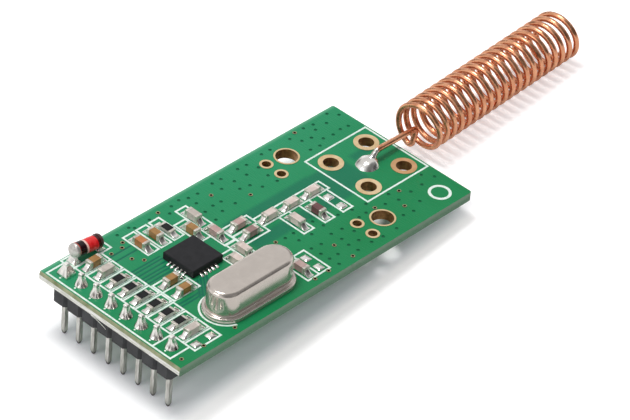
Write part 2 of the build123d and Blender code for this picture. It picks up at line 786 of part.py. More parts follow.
# Solder mound over the antenna wire's hole, which it fills, with a smaller one below
with BuildPart() as lead_in:
    with BuildLine() as lead_route:
        FilletPolyline(*lead_points[:4], radius=lead_bends[:2])
    with BuildSketch(Plane(origin=lead_points[0], z_dir=(0, 0, 1))):
        Circle(wire_width / 2)
    sweep(path=lead_route.wires()[0])
mound_peak = (0, seat + mound_height)
mound_shoulder = (mound_shoulder_run, seat + mound_shoulder_rise)
mound_edge = (mound_width / 2, seat)
lower_edge = (mound_width / 2, underside)
lower_shoulder = (mound_below_shoulder_run, underside - mound_below_shoulder_drop)
lower_neck = (mound_below_neck, underside - mound_below)
with BuildPart() as antenna_solder:
    with BuildSketch(Plane(origin=(antenna_x, antenna_y, 0), x_dir=(1, 0, 0), z_dir=(0, -1, 0))):
        with BuildLine():
            ThreePointArc(mound_peak, mound_shoulder, mound_edge)
            Polyline(mound_edge, (antenna_bore / 2, seat), (antenna_bore / 2, underside), lower_edge)
            ThreePointArc(lower_edge, lower_shoulder, lower_neck)
            Polyline(lower_neck, (0, lower_neck[1]), mound_peak)
        make_face()
    revolve(axis=Axis((antenna_x, antenna_y, 0), (0, 0, 1)))
    add(lead_in.part, mode=Mode.SUBTRACT)
antenna_solder.part.label = "antenna_solder"
export_step(antenna_solder.part, "parts/antenna_solder.step")


def end_bands(height):
    """The two metal end bands of a chip part, standing on its pads."""
    with Locations(
        ((end_band - block_length) / 2, 0, height / 2), ((block_length - end_band) / 2, 0, height / 2)
    ):
        Box(end_band, block_width, height)


# Chip capacitors and the chip inductor: a ceramic block between two end bands
named_blocks = [(f"capacitor_{k + 1}", block) for k, block in enumerate(capacitors)]
for name, block in named_blocks + [("inductor", inductor)]:
    height = block[2]
    with BuildPart(block_plane(block)) as ceramic:
        end_bands(height)
        fillet(ceramic.edges(), block_corner)
        with Locations((0, 0, height / 2)):
            Box(block_length - end_band, block_width - 2 * end_skin, height - 2 * end_skin)
    ceramic.part.label = name
    export_step(ceramic.part, f"parts/{name}.step")

# Chip resistors: a thin alumina plate with end bands and a dark glaze on top
for k, block in enumerate(resistors):
    height = block[2]
    with BuildPart(block_plane(block)) as plate:
        end_bands(height - end_skin)
        fillet(plate.edges(), block_corner)
        with Locations((0, 0, height / 2)):
            Box(block_length - end_band, block_width - 2 * end_skin, height - 4 * end_skin)
        with Locations((0, 0, height - end_skin)):
            Box(glaze_length, block_width - end_skin, 2 * end_skin)
    plate.part.label = f"resistor_{k + 1}"
    export_step(plate.part, f"parts/resistor_{k + 1}.step")


def outlines(datum, places):
    """Legend outlines given from a datum point, each by two opposite corners."""
    return [(datum[0] + x0, datum[1] + y0, datum[0] + x1, datum[1] + y1) for x0, y0, x1, y1 in places]


# Printed legend on the top face: outlines of the parts, kept clear of pads and rings
header_frame = (
    -header_frame_left,
    pin_rows[-1] - header_frame_front,
    column_x - row_frame_left,
    pin_rows[0] + header_frame_back,
)
diode_frame = (
    header_frame[2] - diode_frame_gap,
    board_back - diode_frame_depth,
    column_x + diode_frame_right,
    board_back - legend_width,
)
frame_rows = range(-1, resistor_rows + 3)
row_frames = [(k * column_pitch - row_frame_half, k * column_pitch + row_frame_half) for k in frame_rows]
frames = (
    [header_frame, diode_frame]
    + outlines(
        (column_x, column[1] + row_frame_lift),
        [(-row_frame_left, low, row_frame_right, high) for low, high in row_frames],
    )
    + outlines(chip, [(-5.56, -3.18, -2.22, -1.62), (-5.56, -1.62, -2.22, -0.26)])
    + outlines(chip, [(-2.66, 3.3, -1.24, 6.74), (-0.93, 3.3, 0.39, 6.74), (0.79, 3.3, 2.09, 6.74)])
    + outlines(chip, [(2.36, 1.45, 3.84, 4.9), (3.96, 2.7, 5.32, 6.34), (3.84, -0.5, 5.32, 2.56)])
    + outlines(chip, [(2.34, -4.6, 3.89, -1.2), (3.94, -3.8, 5.34, -0.4)])
    + outlines(chip, [(5.24, 0, 8.69, 1.46), (5.24, -1.65, 8.69, -0.05)])
    + outlines((chain_x, chip_y), [(-1.4, -0.8, 7.75, 0.6), (0.75, -4.18, 2.11, -0.8)])
    + outlines((chain_x, chip_y), [(3.53, -4.3, 4.87, -0.8), (6.07, -4.3, 7.39, -0.8)])
    + outlines(crystal, [(5.68, -2.25, 7.21, 1.2), (7.21, -2.25, 8.68, 1.2)])
    + outlines(antenna, [(-4.34, -4.1, 4.3, 4.32)])
)
pin_line_y = pin_rows[-1] + last_pin_line
strokes = [(header_frame[0], pin_line_y, header_frame[2], pin_line_y)]
for x0, y0, x1, y1 in frames:
    strokes += [(x0, y0, x1, y0), (x0, y1, x1, y1), (x0, y0, x0, y1), (x1, y0, x1, y1)]
pin_marks = [(header_frame[0] + pin_mark_inset, y) for y in pin_rows]
# The crystal's outline, which is open along the board's near edge and at the antenna's end
crystal_line_reach = crystal_line_gap + legend_width
with BuildSketch() as crystal_line:
    with Locations(crystal):
        SlotOverall(flange_length + 2 * crystal_line_reach, flange_width + 2 * crystal_line_reach)
        SlotOverall(flange_length + 2 * crystal_line_gap, flange_width + 2 * crystal_line_gap, mode=Mode.SUBTRACT)
    with Locations((crystal_x + crystal_line_open_from + flange_length / 2, crystal_y - flange_width / 2)):
        Rectangle(flange_length, flange_width, mode=Mode.SUBTRACT)
    with Locations((crystal_x + crystal_line_end + flange_length / 2, crystal_y)):
        Rectangle(flange_length, 2 * flange_width, mode=Mode.SUBTRACT)

with BuildPart() as board_legend:
    with BuildSketch(Plane.XY.offset(board_top)):
        for x0, y0, x1, y1 in strokes:
            with Locations(((x0 + x1) / 2, (y0 + y1) / 2)):
                Rectangle(x1 - x0 + legend_width, y1 - y0 + legend_width)
        with Locations(crystal):
            SlotOverall(
                flange_length + 2 * crystal_line_gap, flange_width + 2 * crystal_line_gap, mode=Mode.SUBTRACT
            )
        add(crystal_line.sketch_local)
        with Locations(*spots(antenna, [mark_from_antenna])):
            Circle(mark_ring / 2)
            Circle(mark_ring / 2 - mark_line, mode=Mode.SUBTRACT)
        with Locations(*pin_marks):
            Circle(legend_width / 2)
    extrude(amount=legend_thickness)
    with BuildSketch(Plane.XY.offset(board_top)):
        add(pad_faces.sketch_local)
        offset(amount=legend_clearance)
        for places, ring in (
            (pin_holes, pin_hole_ring),
            (antenna_holes, antenna_ring),
            (mounting_holes, mounting_ring),
            (test_holes, test_ring),
            (open_vias, via_ring),
        ):
            with Locations(*places):
                Circle(ring / 2 + legend_clearance)
    extrude(amount=legend_thickness, mode=Mode.SUBTRACT)
board_legend.part.label = "board_legend"
export_step(board_legend.part, "parts/board_legend.step")
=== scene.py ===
"""Looks of the wireless transceiver module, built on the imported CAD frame.

The frame is in metres: +X along the board to the antenna, +Y across it and +Z up out of the board.
Patterns, solder and sizes are laid out in millimetres of the same frame.
"""

import math

import bpy
from mathutils import Matrix, Vector


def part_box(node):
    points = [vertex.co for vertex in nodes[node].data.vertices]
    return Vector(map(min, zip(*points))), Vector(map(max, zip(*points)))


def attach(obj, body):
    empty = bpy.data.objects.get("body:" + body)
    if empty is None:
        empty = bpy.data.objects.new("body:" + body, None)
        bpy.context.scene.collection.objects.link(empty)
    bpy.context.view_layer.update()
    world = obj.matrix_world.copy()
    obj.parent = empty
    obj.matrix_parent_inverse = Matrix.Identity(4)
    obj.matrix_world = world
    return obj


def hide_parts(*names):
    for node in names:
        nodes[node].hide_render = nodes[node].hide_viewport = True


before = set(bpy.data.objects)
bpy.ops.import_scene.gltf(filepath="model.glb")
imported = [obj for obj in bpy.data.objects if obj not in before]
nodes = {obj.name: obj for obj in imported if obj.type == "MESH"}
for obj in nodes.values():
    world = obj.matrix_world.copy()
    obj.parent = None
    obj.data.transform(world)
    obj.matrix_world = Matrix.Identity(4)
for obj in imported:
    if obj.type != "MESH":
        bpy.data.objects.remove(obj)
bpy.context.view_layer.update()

MM = 0.001

# Sizes and counts that several sections share

SEAT = 3.04
PIN_COUNT = 8
PIN_PITCH = 2.0
RESISTOR_COUNT = 7
ALONG = {"x": (1.0, 0.0, 0.0), "y": (0.0, 1.0, 0.0)}

# Plain building blocks for the materials


def paint(red, green, blue):
    """A colour named by its screen values, 0 to 255, as the shader wants it."""
    screen = [value / 255 for value in (red, green, blue)]
    linear = [c / 12.92 if c <= 0.04045 else ((c + 0.055) / 1.055) ** 2.4 for c in screen]
    return (*linear, 1.0)


def connect(tree, value, socket):
    """Links another node's output to a socket, or sets the socket to a plain value."""
    if isinstance(value, bpy.types.NodeSocket):
        tree.links.new(value, socket)
    else:
        socket.default_value = value


def add_node(tree, kind, inputs=None, **settings):
    """Adds a node, sets its fields, and fills its inputs with values or with other nodes' outputs."""
    node = tree.nodes.new(kind)
    for field, value in settings.items():
        setattr(node, field, value)
    for name, value in (inputs or {}).items():
        connect(tree, value, node.inputs[name])
    return node


def sums(tree, operation, *values, clamp=False):
    """A Math node's result."""
    inputs = dict(enumerate(values))
    return add_node(tree, "ShaderNodeMath", inputs, operation=operation, use_clamp=clamp).outputs[0]


def vectors(tree, operation, *values):
    """A Vector Math node's result, which is one number for a dot product or a distance."""
    node = add_node(tree, "ShaderNodeVectorMath", dict(enumerate(values)), operation=operation)
    return node.outputs["Value" if operation in ("DOT_PRODUCT", "DISTANCE") else "Vector"]


def scaled(tree, vector, times):
    """A vector made longer or shorter."""
    return add_node(tree, "ShaderNodeVectorMath", {0: vector, "Scale": times}, operation="SCALE").outputs[0]


def split(tree, vector):
    """A vector's X, Y and Z."""
    return add_node(tree, "ShaderNodeSeparateXYZ", {0: vector}).outputs


def noise(tree, place, scale, detail=2.0, distortion=0.0):
    """A cloudy value around a half."""
    inputs = {"Vector": place, "Scale": scale, "Detail": detail, "Distortion": distortion}
    return add_node(tree, "ShaderNodeTexNoise", inputs).outputs[0]


def bump(tree, height, distance):
    """The normal of a surface with this height, where 1 stands for a distance in metres."""
    return add_node(tree, "ShaderNodeBump", {"Height": height, "Distance": distance}).outputs[0]


def shade_along(tree, value, start, end):
    """A share that goes from 0 to 1 as a value goes from start to end."""
    inputs = {"Value": value, "From Min": start, "From Max": end}
    return add_node(tree, "ShaderNodeMapRange", inputs).outputs[0]


def blend_colours(tree, share, low, high):
    """A colour between two others, by a share from 0 to 1."""
    node = add_node(tree, "ShaderNodeMix", data_type="RGBA")
    for name, value in (("Factor", share), ("A", low), ("B", high)):
        socket = next(s for s in node.inputs if s.name == name and (name == "Factor" or s.type == "RGBA"))
        connect(tree, value, socket)
    return next(s for s in node.outputs if s.type == "RGBA")


def mix_shaders(tree, share, one, other):
    """One surface or light blended into another, by a share from 0 to 1."""
    return add_node(tree, "ShaderNodeMixShader", {0: share, 1: one, 2: other}).outputs[0]


def inside_border(tree, over, edge):
    """A share that falls from 1 to 0 across a soft border, from how far over it a place lies."""
    return sums(tree, "SUBTRACT", 0.5, sums(tree, "DIVIDE", over, edge), clamp=True)


def new_effect(name, inputs, outputs):
    """An empty node group with named inputs and outputs."""
    group = bpy.data.node_groups.new(name, "ShaderNodeTree")
    for label, kind, value in inputs:
        socket = group.interface.new_socket(label, in_out="INPUT", socket_type="NodeSocket" + kind)
        if value is not None:
            socket.default_value = value
    for label, kind in outputs:
        group.interface.new_socket(label, in_out="OUTPUT", socket_type="NodeSocket" + kind)
    given = group.nodes.new("NodeGroupInput").outputs
    result = group.nodes.new("NodeGroupOutput").inputs
    return group, given, result


def place_effect(tree, group, inputs):
    """Places an effect in a material with that material's own values."""
    return add_node(tree, "ShaderNodeGroup", inputs, node_tree=group).outputs


def new_finish(name, **values):
    """A material whose shader has these plain values."""
    material = bpy.data.materials.new(name)
    material.use_nodes = True
    tree = material.node_tree
    shader = next(n for n in tree.nodes if n.type == "BSDF_PRINCIPLED")
    for label, value in values.items():
        shader.inputs[label.replace("_", " ")].default_value = value
    return material, tree, shader.inputs


def millimetres(tree):
    """The place on the surface, in the frame's millimetres."""
    return scaled(tree, add_node(tree, "ShaderNodeTexCoord").outputs["Object"], 1000.0)


def facing(tree):
    """The surface's own direction, split into X, Y and Z."""
    return split(tree, add_node(tree, "ShaderNodeNewGeometry").outputs["True Normal"])


# Effects that several materials share. Noise keeps near a half, and two of them spread its middle range

CLOUD_RANGE = (0.35, 0.65)
STREAK_RANGE = (0.36, 0.64)
STREAK_BEND = 0.4
BAND_RIPPLE = 5.0
BAND_SHARPNESS = 60.0


def make_grain():
    """Fine bumps, such as moulded plastic or sheet metal has."""
    group, given, result = new_effect(
        "fine grain",
        [("Place", "Vector", None), ("Size", "Float", 0.1), ("Depth", "Float", 0.01)],
        [("Normal", "Vector")],
    )
    speckle = noise(group, given["Place"], sums(group, "DIVIDE", 1.0, given["Size"]), detail=4.0)
    depth = sums(group, "MULTIPLY", given["Depth"], MM)
    group.links.new(bump(group, speckle, depth), result["Normal"])
    return group


def make_drift():
    """A colour that wanders slowly between two others."""
    group, given, result = new_effect(
        "colour drift",
        [("Place", "Vector", None), ("Size", "Float", 2.0), ("One", "Color", None), ("Other", "Color", None)],
        [("Color", "Color")],
    )
    cloud = noise(group, given["Place"], sums(group, "DIVIDE", 1.0, given["Size"]), detail=3.0)
    share = shade_along(group, cloud, *CLOUD_RANGE)
    group.links.new(blend_colours(group, share, given["One"], given["Other"]), result["Color"])
    return group


def make_streaks():
    """Long soft marks along one direction, such as drawing, dipping or running solder leaves."""
    group, given, result = new_effect(
        "streaks",
        [("Place", "Vector", None), ("Stretch", "Vector", (1.0, 1.0, 1.0)), ("Size", "Float", 0.2)],
        [("Share", "Float")],
    )
    squeezed = vectors(group, "MULTIPLY", given["Place"], given["Stretch"])
    marks = noise(group, squeezed, sums(group, "DIVIDE", 1.0, given["Size"]), distortion=STREAK_BEND)
    group.links.new(shade_along(group, marks, *STREAK_RANGE), result["Share"])
    return group


def make_patch():
    """A share that is 1 inside an upright rectangle, 0 outside it and a half on its border."""
    group, given, result = new_effect(
        "patch",
        [
            ("Place", "Vector", None),
            ("Middle", "Vector", None),
            ("Half size", "Vector", None),
            ("Edge", "Float", 0.08),
        ],
        [("Share", "Float")],
    )
    away = vectors(group, "ABSOLUTE", vectors(group, "SUBTRACT", given["Place"], given["Middle"]))
    over = split(group, vectors(group, "SUBTRACT", away, given["Half size"]))
    furthest = sums(group, "MAXIMUM", over["X"], over["Y"])
    group.links.new(inside_border(group, furthest, given["Edge"]), result["Share"])
    return group


def make_track():
    """A share that is 1 within half a track's width of the line between two points, seen from above."""
    group, given, result = new_effect(
        "track",
        [
            ("Place", "Vector", None),
            ("Start", "Vector", None),
            ("End", "Vector", None),
            ("Half width", "Float", 0.1),
            ("Edge", "Float", 0.06),
        ],
        [("Share", "Float")],
    )
    flat = vectors(group, "MULTIPLY", given["Place"], (1, 1, 0))
    run = vectors(group, "SUBTRACT", given["End"], given["Start"])
    out = vectors(group, "SUBTRACT", flat, given["Start"])
    reach = vectors(group, "DOT_PRODUCT", out, run)
    whole = vectors(group, "DOT_PRODUCT", run, run)
    nearest = scaled(group, run, sums(group, "DIVIDE", reach, whole, clamp=True))
    over = sums(group, "SUBTRACT", vectors(group, "DISTANCE", out, nearest), given["Half width"])
    group.links.new(inside_border(group, over, given["Edge"]), result["Share"])
    return group


def make_end_bands():
    """A share that is 1 on a chip part's two metal ends and 0 on its body."""
    group, given, result = new_effect(
        "end bands",
        [("Along", "Vector", (1.0, 0.0, 0.0)), ("Band", "Float", 0.2), ("Waver", "Float", 0.02)],
        [("Share", "Float")],
    )
    place = add_node(group, "ShaderNodeTexCoord").outputs["Generated"]
    from_middle = vectors(group, "SUBTRACT", place, (0.5, 0.5, 0.5))
    far = sums(group, "ABSOLUTE", vectors(group, "DOT_PRODUCT", from_middle, given["Along"]))
    ripple = sums(group, "SUBTRACT", noise(group, place, BAND_RIPPLE), 0.5)
    offset = sums(group, "MULTIPLY", ripple, given["Waver"])
    start = sums(group, "SUBTRACT", sums(group, "SUBTRACT", 0.5, given["Band"]), offset)
    step = sums(group, "MULTIPLY", sums(group, "SUBTRACT", far, start), BAND_SHARPNESS, clamp=True)
    group.links.new(step, result["Share"])
    return group


grain = make_grain()
drift = make_drift()
streaks = make_streaks()
patch = make_patch()
track = make_track()
end_bands = make_end_bands()


def grain_normal(tree, place, size, depth):
    """The bumped normal of a fine grain, with sizes in millimetres."""
    return place_effect(tree, grain, {"Place": place, "Size": size, "Depth": depth})["Normal"]


def drifting(tree, place, size, one, other):
    """A colour that wanders between two, over a size in millimetres."""
    return place_effect(tree, drift, {"Place": place, "Size": size, "One": one, "Other": other})["Color"]


def streaked(tree, place, stretch, size):
    """A share of streaks of this size, longest along the axis with the smallest stretch."""
    return place_effect(tree, streaks, {"Place": place, "Stretch": stretch, "Size": size})["Share"]


def in_patch(tree, place, middle, half, edge):
    """A share that is 1 inside a rectangle on the board, at any height."""
    values = {"Place": place, "Middle": (*middle, 0), "Half size": (*half, 0), "Edge": edge}
    return place_effect(tree, patch, values)["Share"]


def on_track(tree, place, start, end, half_width, edge):
    """A share that is 1 on a straight track on the board, at any height."""
    values = {"Place": place, "Start": (*start, 0), "End": (*end, 0), "Half width": half_width, "Edge": edge}
    return place_effect(tree, track, values)["Share"]


def roughen(tree, shader, share, least, added):
    """Makes a surface at least this rough, and rougher by the added amount where the share is 1."""
    tree.links.new(sums(tree, "ADD", least, sums(tree, "MULTIPLY", share, added)), shader["Roughness"])


def plain_finish(name, size, one, other, grained=None, **values):
    """A material whose colour wanders between two over a size, with a fine grain if its size is given."""
    material, tree, shader = new_finish(name, **values)
    place = millimetres(tree)
    tree.links.new(drifting(tree, place, size, one, other), shader["Base Color"])
    if grained:
        tree.links.new(grain_normal(tree, place, *grained), shader["Normal"])
    return material


def beyond(tree, value, limit):
    """1 where a value is further from 0 than a limit, or else 0."""
    return sums(tree, "GREATER_THAN", sums(tree, "ABSOLUTE", value), limit)


# Materials of the board

BOARD_MIDDLE = 2.5
BOARD_CENTRE = (18.4, -0.34)
BOARD_HALF = (19.6, 9.2)
BACK_EDGE = 9.0
BACK_EDGE_HIGHLIGHT = 0.75
BACK_EDGE_HIGHLIGHT_WIDTH = 0.55
PAINTED_SHEEN_NEAR_TO_FAR = (-6.0, 10.0)
HOLE_SHADE_WITHIN = 0.49
HOLE_SHADE_SHARPNESS = 30.0
HOLE_SHADE_SHARE = 0.85
SAWN_RIM = (2.4, 2.75)
SQUARE_ON = 0.97
BEVEL_SLANT = 0.9
BEVEL_SPREAD = 0.07
FIBRE_STRETCH = (1.0, 0.12, 1.6)
FIBRE_SIZE = 0.12
FIBRE_RIDGE = 0.2
MASK_RELIEF = 0.04
BARE_SHARE = 0.62
BARE_EDGE = 0.45
TRACK_SHARE = 0.95
TRACK_HALF = 0.11
TRACK_EDGE = 0.14
TRACK_DEPTH = 0.6
BARE_STRIPS = [
    ((22.03, 1.93), (5.8, 0.72)),
    ((22.9, -1.5), (6.7, 0.8)),
    ((30.2, 0.1), (2.35, 1.7)),
    ((28.6, 0.2), (1.2, 2.3)),
    ((35.0, 1.7), (1.6, 0.5)),
]
TRACKS = [
    *[((4.7, y), (8.35, y)) for y in (0.9, 1.35, 1.77, 2.27, 2.77, 3.17)],
    *[((4.7, y), (7.4, y)) for y in (5.3, 6.1)],
    *[((4.7, y), (7.6, y)) for y in (-3.1, -3.5)],
    *[((8.6 + shift, -1.7), (7.0 + shift, -3.7)) for shift in (0.0, 0.4, 0.8, 1.2)],
]
RING_FACING = 0.7
COIL_REFLECTION_RING = (36.386, -2.505)
COIL_REFLECTION_HALF = (1.5, 1.5)
COIL_REFLECTION_SHARE = 0.55


def bare_share(tree, place):
    """A share that is 1 where the board has no copper under its mask."""
    bare = 0.0
    for middle, half in BARE_STRIPS:
        bare = sums(tree, "MAXIMUM", in_patch(tree, place, middle, half, BARE_EDGE), bare)
    return bare


def track_share(tree, place):
    """A share that is 1 on the thin dark lines of the tracks that show through the mask."""
    groove = 0.0
    for start, end in TRACKS:
        groove = sums(tree, "MAXIMUM", on_track(tree, place, start, end, TRACK_HALF, TRACK_EDGE), groove)
    return groove


def mask_colour(tree, place, parts, groove):
    """The mask's greens: paler to the back as painted sheen, a painted highlight along the far edge, darker
    off the copper, and darkest on the walls of holes as painted shade.
    """
    # Painted sheen: the green is paler towards the back of the board.
    near = drifting(tree, place, 7.0, paint(18, 128, 74), paint(26, 134, 82))
    far = drifting(tree, place, 9.0, paint(34, 142, 96), paint(44, 148, 104))
    green = blend_colours(tree, shade_along(tree, parts["Y"], *PAINTED_SHEEN_NEAR_TO_FAR), near, far)
    # Painted highlight along the far edge, over mask that also runs thin there.
    glow = shade_along(tree, parts["Y"], BACK_EDGE - BACK_EDGE_HIGHLIGHT_WIDTH, BACK_EDGE)
    glow = sums(tree, "MULTIPLY", sums(tree, "MULTIPLY", glow, glow), BACK_EDGE_HIGHLIGHT)
    green = blend_colours(tree, glow, green, paint(128, 188, 160))
    bare = sums(tree, "MULTIPLY", bare_share(tree, place), BARE_SHARE)
    dark = sums(tree, "MAXIMUM", bare, sums(tree, "MULTIPLY", groove, TRACK_SHARE))
    green = blend_colours(tree, dark, green, paint(12, 104, 82))
    # Painted shade: the walls of holes, around the board's middle height, are darkened.
    level = sums(tree, "ABSOLUTE", sums(tree, "SUBTRACT", parts["Z"], BOARD_MIDDLE))
    hole_shade = sums(tree, "MULTIPLY", sums(tree, "SUBTRACT", HOLE_SHADE_WITHIN, level), HOLE_SHADE_SHARPNESS, clamp=True)
    return blend_colours(tree, sums(tree, "MULTIPLY", hole_shade, HOLE_SHADE_SHARE), green, paint(8, 84, 56))


def edge_colour(tree, place, parts, face, fibres):
    """The laminate at the board's edges: sawn, torn at the header's end, smooth on the scored bevel."""
    sawn = blend_colours(tree, fibres, paint(92, 126, 102), paint(108, 142, 116))
    sawn = blend_colours(tree, shade_along(tree, parts["Z"], *SAWN_RIM), sawn, paint(124, 148, 128))
    torn = blend_colours(tree, fibres, paint(206, 206, 196), paint(246, 246, 242))
    header_end = sums(tree, "LESS_THAN", face["X"], -SQUARE_ON)
    edge = blend_colours(tree, header_end, sawn, torn)
    off_slant = sums(tree, "ABSOLUTE", sums(tree, "ADD", face["X"], BEVEL_SLANT))
    bevel = sums(tree, "LESS_THAN", off_slant, BEVEL_SPREAD)
    scored = drifting(tree, place, 1.5, paint(122, 130, 96), paint(164, 168, 136))
    return blend_colours(tree, bevel, edge, scored)


def solder_mask():
    """Green solder mask over copper, with tracks showing through, and the laminate's bare edges."""
    material, tree, shader = new_finish("green solder mask", Specular_IOR_Level=0.2)
    place = millimetres(tree)
    parts = split(tree, place)
    face = facing(tree)
    groove = track_share(tree, place)
    fibres = streaked(tree, place, FIBRE_STRETCH, FIBRE_SIZE)
    masked = in_patch(tree, place, BOARD_CENTRE, BOARD_HALF, edge=0.05)
    masked = sums(tree, "MAXIMUM", beyond(tree, face["Z"], SQUARE_ON), masked)
    mask = mask_colour(tree, place, parts, groove)
    edge = edge_colour(tree, place, parts, face, fibres)
    tree.links.new(blend_colours(tree, masked, edge, mask), shader["Base Color"])
    roughen(tree, shader, sums(tree, "SUBTRACT", 1.0, masked), least=0.34, added=0.4)
    ridge = sums(tree, "MULTIPLY", fibres, FIBRE_RIDGE)
    ridge = sums(tree, "SUBTRACT", ridge, sums(tree, "MULTIPLY", groove, TRACK_DEPTH))
    tree.links.new(bump(tree, ridge, MASK_RELIEF * MM), shader["Normal"])
    return material


def glass_fibre():
    """Bare pale glass fibre."""
    return plain_finish("glass fibre", 0.2, paint(226, 226, 216), paint(246, 246, 240), Roughness=0.5)


def printed_ink():
    """White legend ink, a little thin in places."""
    thin, full = paint(214, 236, 226), paint(242, 250, 246)
    return plain_finish("white legend ink", 0.4, thin, full, grained=(0.08, 0.006), Roughness=0.55)


def gold_plate():
    """Gold-plated rings, one of them browner as a painted reflection of the copper coil, and barrels darkened
    brown as painted shade where the plating runs down into a hole.
    """
    material, tree, shader = new_finish("gold plating", Metallic=0.6, Roughness=0.36)
    place = millimetres(tree)
    ring = drifting(tree, place, 0.9, paint(242, 214, 172), paint(224, 192, 144))
    # Painted shade: the barrels are darker brown than the rings.
    shaded_barrel = drifting(tree, place, 0.5, paint(170, 128, 78), paint(128, 88, 50))
    # Painted reflection of the copper coil: one ring near it is browner.
    brown = drifting(tree, place, 0.6, paint(214, 150, 96), paint(196, 132, 80))
    coil_reflection = in_patch(tree, place, COIL_REFLECTION_RING, COIL_REFLECTION_HALF, edge=0.2)
    ring = blend_colours(tree, sums(tree, "MULTIPLY", coil_reflection, COIL_REFLECTION_SHARE), ring, brown)
    flat = beyond(tree, facing(tree)["Z"], RING_FACING)
    tree.links.new(blend_colours(tree, flat, shaded_barrel, ring), shader["Base Color"])
    tree.links.new(grain_normal(tree, place, size=0.15, depth=0.006), shader["Normal"])
    return material


def via_plate():
    """The small open holes' plating, dark with the mask that ran over it, and black in the barrel as painted
    shade.
    """
    material, tree, shader = new_finish("via plating", Metallic=0.3, Roughness=0.5)
    place = millimetres(tree)
    ring = drifting(tree, place, 0.2, paint(172, 164, 128), paint(140, 128, 96))
    flat = beyond(tree, facing(tree)["Z"], RING_FACING)
    # The barrel's near-black is painted shade in the narrow hole.
    tree.links.new(blend_colours(tree, flat, paint(26, 16, 10), ring), shader["Base Color"])
    return material


# Materials of the header and the solder

PIN_MARKS = (1.0, 1.0, 0.12)
TIP_CUT = (-3.65, -3.95)
BRIGHT_ABOVE_SEAT = 0.5
WAVE_STRETCH = (1.0, 1.0, 0.5)
FLUTE_TOP = 0.9
FLUTE_FULL = 0.3
FLUTE_CLOUD = 0.9
FLUTE_UNEVEN = 9.0
FLUTE_POWER = 2.0
FLUTE_RELIEF = 0.01


def moulded_black():
    """The header's matt black plastic."""
    dark, light = paint(44, 45, 48), paint(56, 57, 60)
    return plain_finish("header plastic", 1.2, dark, light, grained=(0.07, 0.012), Roughness=0.62)


def tinned_metal():
    """Dull tin with marks along its length, solder-bright above the board and bare at the pins' cut tips."""
    material, tree, shader = new_finish("tinned metal", Metallic=1.0)
    place = millimetres(tree)
    height = split(tree, place)["Z"]
    marks = streaked(tree, place, PIN_MARKS, size=0.16)
    tin = blend_colours(tree, marks, paint(176, 174, 168), paint(222, 221, 216))
    above = shade_along(tree, height, SEAT, SEAT + BRIGHT_ABOVE_SEAT)
    tin = blend_colours(tree, above, tin, paint(250, 247, 242))
    tin = blend_colours(tree, shade_along(tree, height, *TIP_CUT), tin, paint(92, 88, 84))
    tree.links.new(tin, shader["Base Color"])
    roughen(tree, shader, marks, least=0.28, added=0.16)
    return material


def bright_solder(name, roughness):
    """Bright smooth solder, uneven only in wide soft waves."""
    material, tree, shader = new_finish(name, Metallic=1.0)
    place = millimetres(tree)
    waves = streaked(tree, place, WAVE_STRETCH, size=0.8)
    tin = blend_colours(tree, waves, paint(232, 228, 222), paint(250, 248, 245))
    tree.links.new(tin, shader["Base Color"])
    roughen(tree, shader, waves, least=roughness, added=0.08)
    tree.links.new(grain_normal(tree, place, size=0.7, depth=0.012), shader["Normal"])
    return material


def fluted_solder(name, flutes, depth):
    """Solder drawn up a header pin, with flutes that fan out to its foot: bumped, and darkened in colour as a
    painted reflection.
    """
    material, tree, shader = new_finish(name, Metallic=1.0, Roughness=0.2)
    place = millimetres(tree)
    parts = split(tree, place)
    across = sums(tree, "SUBTRACT", sums(tree, "FLOORED_MODULO", parts["Y"], PIN_PITCH), PIN_PITCH / 2)
    angle = sums(tree, "ARCTAN2", across, parts["X"])
    uneven = sums(tree, "MULTIPLY", noise(tree, place, FLUTE_CLOUD), FLUTE_UNEVEN)
    turn = sums(tree, "ADD", sums(tree, "MULTIPLY", angle, flutes), uneven)
    wave = sums(tree, "ADD", 0.5, sums(tree, "MULTIPLY", sums(tree, "COSINE", turn), 0.5))
    low = shade_along(tree, parts["Z"], SEAT + FLUTE_TOP, SEAT + FLUTE_FULL)
    flute_with_painted_reflection = sums(tree, "POWER", wave, FLUTE_POWER)
    flute_with_painted_reflection = sums(tree, "MULTIPLY", flute_with_painted_reflection, sums(tree, "MULTIPLY", low, depth))
    # Painted reflection: the flutes darken the solder's colour like dark streaks mirrored in its facets.
    metal = blend_colours(tree, flute_with_painted_reflection, paint(242, 239, 234), paint(118, 111, 105))
    tree.links.new(metal, shader["Base Color"])
    relief = bump(tree, sums(tree, "MULTIPLY", flute_with_painted_reflection, -1.0), FLUTE_RELIEF * MM)
    tree.links.new(relief, shader["Normal"])
    return material


# Materials of the chip, the crystal and the diode

DIODE_BAND_END = 2.94
DIODE_RED_START = 3.16
DIODE_RED_END = 4.42
DIODE_MIDDLE = 3.386
STUD_INSIDE = 1.32
STUD_DARKENS = (3.0, 4.0)


def package_epoxy():
    """The chip's moulded epoxy, matt on top."""
    values = {"Roughness": 0.6, "Specular_IOR_Level": 0.2}
    return plain_finish("package epoxy", 0.8, paint(34, 34, 37), paint(40, 40, 43), (0.05, 0.008), **values)


def can_sheet():
    """Nickel-plated drawn sheet, a soft mirror with a warm cast and faint dents."""
    material, tree, shader = new_finish("nickel-plated sheet", Metallic=0.8)
    place = millimetres(tree)
    rubbed = streaked(tree, place, (1.0, 1.0, 1.0), size=1.4)
    nickel = blend_colours(tree, rubbed, paint(205, 196, 188), paint(211, 202, 194))
    tree.links.new(nickel, shader["Base Color"])
    roughen(tree, shader, rubbed, least=0.16, added=0.04)
    tree.links.new(grain_normal(tree, place, size=1.6, depth=0.006), shader["Normal"])
    return material


def seal_glass():
    """Dark glass that seals the crystal's leads."""
    values = {"Roughness": 0.15, "Coat_Weight": 0.4}
    return plain_finish("seal glass", 0.3, paint(40, 52, 66), paint(58, 72, 86), **values)


